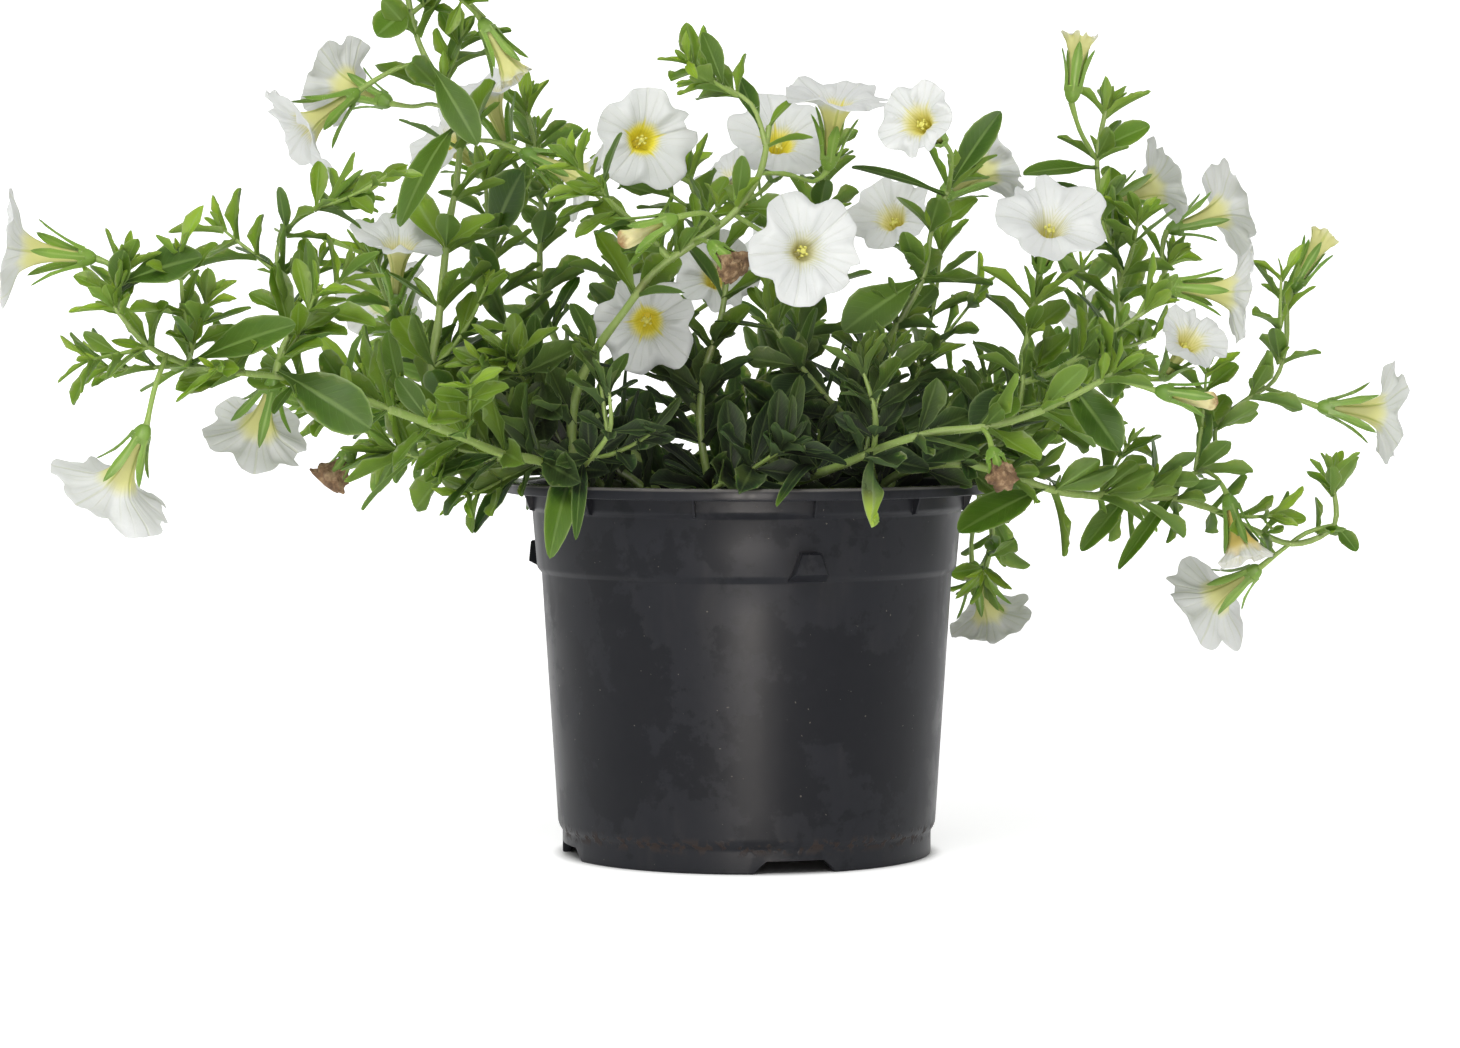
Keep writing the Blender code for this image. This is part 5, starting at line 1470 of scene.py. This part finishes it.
def corolla_shape(number, bloom):
    """The trumpet: tube, throat and limb, with an outer and an inner side."""
    base, spin, long, luck = bloom_frame(number, bloom)
    edge = edge_of(luck, bloom, long)
    is_open = bloom.kind == "open"
    throat = THROAT_RADIUS * bloom.wide / 30.0 + 0.4 if is_open else bloom.wide / 2.0 * 0.62
    top = long - THROAT_DEPTHS[bloom.kind]
    curl = luck.uniform(-0.9, 0.7) if is_open else 0.3
    ruffle = luck.uniform(1.7, 2.5) if is_open else 0.6
    fold = luck.uniform(0.9, 1.4) if is_open else 1.0
    phase = luck.uniform(0.0, 50.0)

    def tube_point(share, turn, thick):
        """From the foot of the tube, at 0, to the throat, at 1."""
        belly = between(TUBE_RADIUS, throat, 0.28 * share + 0.72 * share ** 4)
        ridge = 1.0 + 0.05 * math.cos(PETALS * turn) * share
        return belly * ridge - thick, between(TUBE_LOW, top, share)

    def limb_point(share, turn, thick):
        """From the throat, at 0, to the edge, at 1."""
        outer, rise = edge(turn)
        radius = between(tube_point(1.0, turn, 0.0)[0], outer, share)
        arch = share ** 0.55 * 0.8 + share * 0.2
        border = 0.5 + 0.5 * math.cos(PETALS * turn + math.pi)
        crest = border ** 6 * 1.2 - 0.35 * (1.0 - border) ** 12
        height = between(top, rise, arch) + curl * share ** 3
        height += fold * crest * math.sin(math.pi * share)
        spot = polar(1.6, turn, share * 1.1 + phase)
        height += ruffle * share ** 2 * noise.noise(spot * 1.25)
        height += ruffle * 0.35 * share ** 3 * noise.noise(spot * 3.4)
        radius += 0.25 * share * noise.noise(spot * 2.7)
        return radius - thick * 0.35, height + thick * 0.94

    # The outer side from the foot to the edge, and the inner side back into the throat
    columns = PETALS * PETAL_COLUMNS
    rows = [(tube_point, share, 0.0) for share in TUBE_ROWS]
    rows += [(limb_point, share, 0.0) for share in LIMB_ROWS]
    rows += [(limb_point, share, 1.0) for share in reversed(LIMB_ROWS)]
    rows += [(tube_point, share, 1.0) for share in reversed(TUBE_ROWS[3:])]
    points, out, aside, back = [Vector((0.0, 0.0, TUBE_LOW - 0.6))], [0.0], [0.0], [1.0]
    for place, share, inner in rows:
        on_limb = place is limb_point
        thick = PETAL_THICK * (1.0 - 0.6 * share ** 4 if on_limb else 1.0) * inner
        for i in range(columns):
            turn = math.tau * i / columns
            radius, height = place(share, turn, thick)
            off = abs((turn / math.tau * PETALS + 0.5) % 1.0 - 0.5) * math.tau / PETALS
            points.append(polar(radius, turn, height))
            out.append(radius if on_limb else min(radius, throat))
            aside.append(radius * off)
            back.append(1.0 - inner)
    points.append(Vector((0.0, 0.0, tube_point(TUBE_ROWS[3], 0.0, 0.0)[1] - 0.3)))
    faces = skin([1] + [columns] * len(rows) + [1])
    shape = Shape("out", "aside", "back", "yellow")
    shape.add(settled(points, base, spin), faces, out=out + [0.0], aside=aside + [0.0],
              back=back + [0.0], yellow=THROATS.get(number, THROAT_USUAL))
    return shape


def anther_shape(number, bloom):
    """Five anthers round the stigma in the throat, each on its thread."""
    base, spin, long, _ = bloom_frame(number, bloom)
    luck = random.Random(f"anthers {number}")
    shape = Shape()
    for i in range(6):
        turn = i * math.tau / 5.0 + luck.uniform(-0.3, 0.3)
        away, size = (ANTHER_AWAY, ANTHER_SIZE) if i < 5 else (0.0, STIGMA_SIZE)
        centre = polar(away, turn, long - luck.uniform(*ANTHER_DEPTH))
        points, faces = turned(ANTHER_PROFILE, 8)
        points = [centre + Vector((p.x * size[0], p.y * size[1], p.z * size[2])) for p in points]
        shape.add(settled(points, base, spin), faces)
        points, faces = turned(THREAD_PROFILE, 6)
        shape.add(settled([p + centre for p in points], base, spin), faces)
    return shape


def faded_shape(number, bloom):
    """A flower past its time: a crumpled tube with a twisted, shrunken limb."""
    base, spin, long, luck = bloom_frame(number, bloom)
    withered = bloom.kind == "withered"
    bloom = bloom._replace(wide=bloom.wide * (1.4 if withered else 1.0))
    edge = edge_of(luck, bloom, long)
    tube = bloom.wide / 2.0 * 0.8
    top = long - 4.0
    phase = luck.uniform(0.0, 50.0)
    crease = 0.36 if withered else 0.16
    points, along = [], []
    counts = [FADED_COLUMNS if 0.0 < share < 1.0 else 1 for share in FADED_ROWS]
    for share, count in zip(FADED_ROWS, counts):
        for i in range(count):
            turn = math.tau * i / FADED_COLUMNS
            height = between(1.6, long + 0.6, share)
            if height < top:
                radius = TUBE_RADIUS + (tube - TUBE_RADIUS) * max(height - 3.2, 0.0) / (top - 3.2)
            else:
                radius = tube + (edge(turn)[0] - tube) * (height - top) / 4.6
            radius *= min(1.0, (1.0 - share) * 9.0, share * 14.0) ** 0.5
            spot = polar(1.0, turn + share * 2.2, share * 1.4 + phase)
            radius *= 1.0 + crease * share * noise.noise(spot * 2.6) * 2.0
            radius *= 1.0 + crease * 0.5 * math.cos(PETALS * (turn + share * 1.6)) * share
            points.append(polar(radius, turn, height))
            along.append(share)
    shape = Shape("along")
    shape.add(settled(points, base, spin), skin(counts), along=along)
    return shape


def small_patterns(leaf):
    """The shapes that small leaves are copied from: broad ones first, then narrow young ones."""
    group = bpy.data.collections.new("small leaves")
    bpy.context.scene.collection.children.link(group)
    for kind in range(2 * SMALL_KINDS):
        luck = random.Random(f"small {kind}")
        young = kind >= SMALL_KINDS
        model = Leaf(Vector(), Vector((0.0, 1.0, 0.0)), UP, 1.0, 0.8 if young else 1.0,
                     luck.uniform(-0.24, 0.16))
        shape = Shape("along", "across", "under", "young", "tone")
        points, faces, numbers = blade(model, YOUNG_OUTLINE if young else SMALL_OUTLINE,
                                       SMALL_RIBS, 0.03, luck.uniform(-0.3, 0.3), 0.1)
        age = luck.uniform(*((0.75, 1.0) if young else (0.2, 0.5)))
        shape.add(points, faces, young=age, tone=luck.random(), **numbers)
        name = f"small_{kind:02d}"
        group.objects.link(bpy.data.objects.new(name, shape.mesh(name, leaf)))
    return group


def small_leaves(green, tree, group, leaf):
    """One stem's small leaves as a plain mesh."""
    places, turns, sizes, kinds, shades = zip(*green.small)
    host = bare_mesh("places", places)
    hold(host, "turn", "QUATERNION", [x for turn in turns for x in turn])
    hold(host, "size", "FLOAT_VECTOR", [x for size in sizes for x in size])
    hold(host, "kind", "INT", kinds)
    hold(host, "shade", "FLOAT", shades)
    return grow(put("places", host), tree, Shapes=group, Material=leaf)


def stalks(green, tree, material):
    """One stem's stalks as a plain mesh."""
    points, edges, thick, ages = [], [], [], []
    for line, radii, young in green.lines:
        first = len(points)
        edges += [(first + i, first + i + 1) for i in range(len(line) - 1)]
        points += line
        thick += radii
        ages += [young] * len(line)
    host = bare_mesh("lines", points, edges, thick=thick, young=ages)
    return grow(put("lines", host), tree, Spacing=2.6 * MM, Sides=8, Material=material)


def pot_outline():
    """The pot's section in millimetres, from the middle of its underside up and back inside."""
    rim_under = RIM_TOP - RIM_THICK
    collar_foot = rim_under - COLLAR_HEIGHT
    skirt_top = STEP_RADIUS - STEP_DEPTH
    foot_inside = FOOT_RADIUS - FOOT_WALL
    corners = [
        (0.0, FLOOR_UNDER, 0.0), (foot_inside, FLOOR_UNDER, 0.4), (foot_inside, 0.0, 0.3),
        (FOOT_RADIUS, 0.0, 0.6), (FOOT_RADIUS, FOOT_HEIGHT, 0.7),
        (LOWER_RADIUS - 0.5, FOOT_HEIGHT + 0.9, 0.5), (LOWER_RADIUS, FOOT_HEIGHT + 2.2, 0.8),
        (skirt_top, STEP_HEIGHT - STEP_DROP, 0.3), (STEP_RADIUS, STEP_HEIGHT, 0.5),
        (UPPER_RADIUS, collar_foot, 0.3), (COLLAR_RADIUS, collar_foot + COLLAR_CHAMFER, 0.6),
        (COLLAR_RADIUS, rim_under, 0.5), (RIM_RADIUS, rim_under, 0.5),
        (RIM_RADIUS, RIM_TOP, 1.0), (COLLAR_RADIUS + 0.4, RIM_TOP, 1.4),
        (UPPER_RADIUS - WALL, collar_foot, 0.8), (STEP_RADIUS - WALL, STEP_HEIGHT + 0.8, 0.4),
        (skirt_top - WALL, STEP_HEIGHT - STEP_DROP, 0.3), (LOWER_RADIUS - WALL, FLOOR_TOP, 0.5),
        (0.0, FLOOR_TOP, 0.0)]
    return rounded(corners)


def rounded(corners):
    """An outline with each corner cut to a small round of its own size, and long runs divided."""
    points = []
    for i, (radius, height, size) in enumerate(corners):
        here = Vector((radius, height))
        if size == 0.0:
            points.append(here)
            continue
        before = Vector(corners[i - 1][:2]) - here
        after = Vector(corners[i + 1][:2]) - here
        a = here + before.normalized() * min(size, before.length * 0.45)
        b = here + after.normalized() * min(size, after.length * 0.45)
        for t in (0.0, 0.33, 0.67, 1.0):
            points.append(a * (1 - t) ** 2 + here * 2 * t * (1 - t) + b * t ** 2)
    full = []
    for p, q in zip(points, points[1:]):
        count = max(1, round((q - p).length / 7.0))
        full += [p.lerp(q, i / count) for i in range(count)]
    return [(p.x, p.y) for p in full + [points[-1]]]


def pot_reach(turn, row, radius, height):
    """Raises the foot over the drain notches."""
    if radius > FOOT_RADIUS - FOOT_WALL - 0.5 and height < NOTCH_HEIGHT:
        pitch = 360.0 / NOTCH_COUNT
        degrees = math.degrees(turn) + 90.0 - NOTCH_TURN
        off = abs((degrees + pitch / 2) % pitch - pitch / 2)
        across = FOOT_RADIUS * math.sin(math.radians(off))
        rise = min(max((NOTCH_WIDTH / 2 - across) / NOTCH_SLOPE, 0.0), 1.0) * NOTCH_HEIGHT
        height = max(height, rise)
    return radius, height


def pot_mesh(material):
    points, faces = turned(pot_outline(), POT_COLUMNS, pot_reach)
    shape = Shape()
    shape.add([p * MM for p in points], faces)
    for angle in LUG_ANGLES:
        shape.add(*lug(angle))
    return shape.mesh("pot", material, 32.0)


def wall_radius(height):
    """The outer radius of the pot's wall on the step and above it, as far as the collar."""
    collar_foot = RIM_TOP - RIM_THICK - COLLAR_HEIGHT
    if height < STEP_HEIGHT:
        return STEP_RADIUS - STEP_DEPTH * (STEP_HEIGHT - height) / STEP_DROP
    share = (height - STEP_HEIGHT) / (collar_foot - STEP_HEIGHT)
    return STEP_RADIUS + (UPPER_RADIUS - STEP_RADIUS) * share


def lug(angle):
    """A stud on the step: wide below, narrow above, with an upright face and worn edges."""
    wide, narrow, tall = LUG_SIZE
    foot = STEP_HEIGHT - LUG_DROP
    spin = Matrix.Rotation(math.radians(angle), 3, "Z")
    points = []
    levels = ((0.0, wall_radius(foot) + LUG_FOOT_PROUD), (LUG_CHAMFER, LUG_RADIUS),
              (tall - LUG_WORN, LUG_RADIUS), (tall, LUG_RADIUS - LUG_WORN))
    for rise, outside in levels:
        half = (wide + (narrow - wide) * rise / tall) / 2
        inside = wall_radius(foot + rise) - LUG_SUNK
        worn = min(LUG_WORN, (outside - inside) * 0.4)
        section = ((half, inside), (-half, inside), (-half, outside - worn),
                   (worn - half, outside), (half - worn, outside), (half, outside - worn))
        points += [spin @ Vector((x, -radius, foot + rise)) * MM for x, radius in section]
    size, last = len(section), len(points)
    faces = skin([size] * len(levels))
    return points, faces + [tuple(reversed(range(size))), tuple(range(last - size, last))]


def rib_mesh(tree, material):
    """The small gussets under the rim, each the same, evenly round the pot."""
    under = RIM_TOP - RIM_THICK
    foot = under - COLLAR_HEIGHT
    inner, outer = COLLAR_RADIUS - 0.5, RIM_RADIUS - 3.6
    outline = [(inner, foot + 0.4), (inner + 1.2, foot + 0.6), (outer, under - 0.4),
               (outer, under + 0.5), (inner, under + 0.5)]
    spin = Matrix.Rotation(math.radians(RIB_TURN), 3, "Z")
    points = [spin @ Vector((x, -r, z)) * MM for x in (-RIB_HALF, RIB_HALF) for r, z in outline]
    count = len(outline)
    faces = [tuple(range(count)), tuple(reversed(range(count, 2 * count)))]
    for i in range(count):
        j = (i + 1) % count
        faces.append((j, i, count + i, count + j))
    rib = bare_mesh("rib", points, (), faces)
    return grow(put("rib", rib), tree, Count=RIB_COUNT, Material=material)


def soil_mesh(material):
    """The root ball with a lumpy top that is heaped a little in its middle."""
    low = LOWER_RADIUS - WALL - 0.5
    high = STEP_RADIUS - STEP_DEPTH - WALL - 0.5
    sides = [(0.0, FLOOR_TOP + 0.3), (low, FLOOR_TOP + 0.3), (high, STEP_HEIGHT - STEP_DROP),
             (high + 0.8, SOIL_TOP - 3.0)]
    top = [((high + 0.6) * (1.0 - i / 26.0), SOIL_TOP - 1.0) for i in range(26)]

    def lumps(turn, row, radius, height):
        if row < len(sides):
            return radius, height
        spot = polar(radius, turn)
        rise = 1.6 * noise.noise(spot * 0.11) + 1.1 * noise.noise(spot * 0.32)
        rise += 0.5 * noise.noise(spot * 0.9)
        return radius, height + rise + 1.2 * (1.0 - (radius / high) ** 2)

    points, faces = turned(sides + top + [(0.0, SOIL_TOP)], 96, lumps)
    shape = Shape()
    shape.add([p * MM for p in points], faces)
    return shape.mesh("soil", material, 50.0)


def crumb_mesh(tree, material):
    """Crumbs over the soil's top."""
    reach = (STEP_RADIUS - STEP_DEPTH - WALL - 2.5) * MM
    count = 24
    points = [polar(reach, math.tau * i / count, (SOIL_TOP - 0.2) * MM) for i in range(count)]
    disc = bare_mesh("soil top", points, (), [tuple(range(count))])
    density = CRUMBS / (math.pi * reach * reach)
    return grow(put("soil top", disc), tree, Density=density, Seed=3, Material=material)


def hair_mesh(meshes, tree, material):
    """Fine hairs over some meshes."""
    shape = Shape()
    for mesh in meshes:
        shape.add([v.co.copy() for v in mesh.vertices], [tuple(f.vertices) for f in mesh.polygons])
    bare = bare_mesh("bare", shape.points, (), shape.faces)
    return grow(put("bare", bare), tree, Density=HAIR_DENSITY, Long=HAIR_LONG * MM, Seed=11,
                Material=material)


def dress_stem(name, branches, looks, trees, group):
    """One stem's foliage in the place of its node."""
    paths = []
    for number, branch in enumerate(branches):
        spacing = SIDE_SPACING if number else FIRST_SPACING
        paths.append(branch_path(number, branch, spacing * MM, paths))
    blooms = [(n, b) for n, b in enumerate(BLOOMS, start=1) if b.stem == name]
    green = grow_foliage(name, branches, paths, blooms)
    lines = stalks(green, trees["stalks"], looks["stalk"])
    meshes = [green.leaves.mesh("leaves", looks["leaf"], 75.0), lines,
              small_leaves(green, trees["scatter"], group, looks["leaf"])]
    downy = [lines]
    if blooms:
        downy.append(calyx_shape(blooms).mesh("calyxes", looks["sepal"], 60.0))
        meshes.append(downy[-1])
    meshes.append(hair_mesh(downy, trees["hairs"], looks["hair"]))
    finish_piece(join(f"foliage_{name}", meshes), "leaf_green", f"stem_{name}")


def dress_bloom(number, bloom, looks):
    """One flower in the place of its node."""
    node = f"bloom_{number:02d}"
    name = f"flower_{number:02d}"
    if bloom.kind in ("wilting", "withered"):
        piece = put(name, faded_shape(number, bloom).mesh(node, looks[bloom.kind]))
    else:
        look = looks["gold_petal"] if number in GOLD_TUBES else looks["petal"]
        meshes = [corolla_shape(number, bloom).mesh(node, look, 70.0)]
        if bloom.kind == "open":
            meshes.append(anther_shape(number, bloom).mesh("anthers", looks["anther"]))
        piece = join(name, meshes)
    slots = {"wilting": "petal_yellow", "withered": "withered_brown"}
    finish_piece(piece, slots.get(bloom.kind, "petal_white"), node)


def make_stage():
    """A pale floor that curves up behind into a plain backdrop."""
    runs = [(-STAGE_REACH, 0.0), (STAGE_REACH, 0.0)]
    for i in range(1, 7):
        turn = math.radians(15.0 * i)
        runs.append((STAGE_REACH + BACKDROP_ROUND * math.sin(turn),
                     BACKDROP_ROUND - BACKDROP_ROUND * math.cos(turn)))
    runs.append((STAGE_REACH + BACKDROP_ROUND, BACKDROP_TOP))
    shape = Shape()
    shape.add([Vector((x, y, z)) for y, z in runs for x in (-STAGE_REACH, STAGE_REACH)],
              [(2 * i, 2 * i + 1, 2 * i + 3, 2 * i + 2) for i in range(len(runs) - 1)])
    put("floor", shape.mesh("floor", floor_material()))


def add_light(name, place, aim, size, power, colour=WHITE):
    """A soft rectangular lamp that looks at a point."""
    data = bpy.data.lights.new(name, "AREA")
    data.shape = "RECTANGLE"
    data.size, data.size_y = size
    data.energy = power
    data.color = colour
    lamp = put(name, data)
    lamp.location = place
    way = Vector(aim) - Vector(place)
    lamp.rotation_euler = way.to_track_quat("-Z", "Y").to_euler()
    return lamp


def add_camera():
    data = bpy.data.cameras.new("camera")
    data.lens = CAMERA_LENS
    camera = put("camera", data)
    camera.location = (0.0, -EYE_DISTANCE * MM, EYE_HEIGHT * MM)
    camera.rotation_euler = (math.radians(90.0 - CAMERA_DOWN), 0.0, math.radians(CAMERA_LEFT))
    bpy.context.scene.camera = camera


def light_up():
    """A bright studio: white surroundings, a wide key light and strips at both sides.

    A warm lamp low in front, which adds no light to dull surfaces, shines in the pot's face.
    """
    bpy.context.scene.view_settings.view_transform = "Standard"
    world = bpy.data.worlds.new("studio")
    bpy.context.scene.world = world
    world.use_nodes = True
    surroundings = world.node_tree.nodes["Background"]
    surroundings.inputs["Color"].default_value = (*WHITE, 1.0)
    surroundings.inputs["Strength"].default_value = WORLD_LIGHT
    add_light("key", (-0.35, -1.1, 1.25), (0.0, 0.0, 0.12), (0.9, 0.7), KEY_LIGHT)
    low = add_light("low front", (0.03, -1.4, 0.08), (0.0, 0.0, 0.05), (0.30, 0.20), FRONT_LIGHT,
                    (1.0, 0.93, 0.86))
    low.visible_diffuse = False
    for name, side in (("left strip", -0.85), ("right strip", 0.85)):
        add_light(name, (side, 0.05, 0.35), (0.0, 0.0, 0.08), (0.25, 0.9), STRIP_LIGHT)


def dress():
    """All pieces: the foliage of each stem, each flower, the pot and its soil."""
    looks = {
        "leaf": leaf_material(), "stalk": stalk_material(), "sepal": sepal_material(),
        "petal": petal_material("petal", (0.79, 0.80, 0.78), (0.66, 0.68, 0.66),
                                (0.70, 0.68, 0.20)),
        "gold_petal": petal_material("gold_petal", (0.78, 0.78, 0.72), (0.65, 0.65, 0.59),
                                     (0.78, 0.54, 0.08)),
        "wilting": wilting_material(), "withered": withered_material(),
        "anther": anther_material(), "hair": hair_material()}
    trees = {"stalks": stalk_tree(), "scatter": scatter_tree(), "hairs": hair_tree()}
    group = small_patterns(looks["leaf"])
    for name, branches in STEMS.items():
        dress_stem(name, branches, looks, trees, group)
    for obj in list(group.objects):
        bpy.data.objects.remove(obj)
    bpy.data.collections.remove(group)
    for number, bloom in enumerate(BLOOMS, start=1):
        dress_bloom(number, bloom, looks)
    plastic, earth = pot_material(), soil_material()
    finish_piece(join("nursery_pot", [pot_mesh(plastic), rib_mesh(rib_tree(), plastic)]),
                 "pot_plastic", "pot")
    finish_piece(join("potting_mix", [soil_mesh(earth), crumb_mesh(crumb_tree(), earth)]),
                 "potting_soil", "soil")


SHOWN = front_flowers()
dress()
make_stage()
light_up()
add_camera()
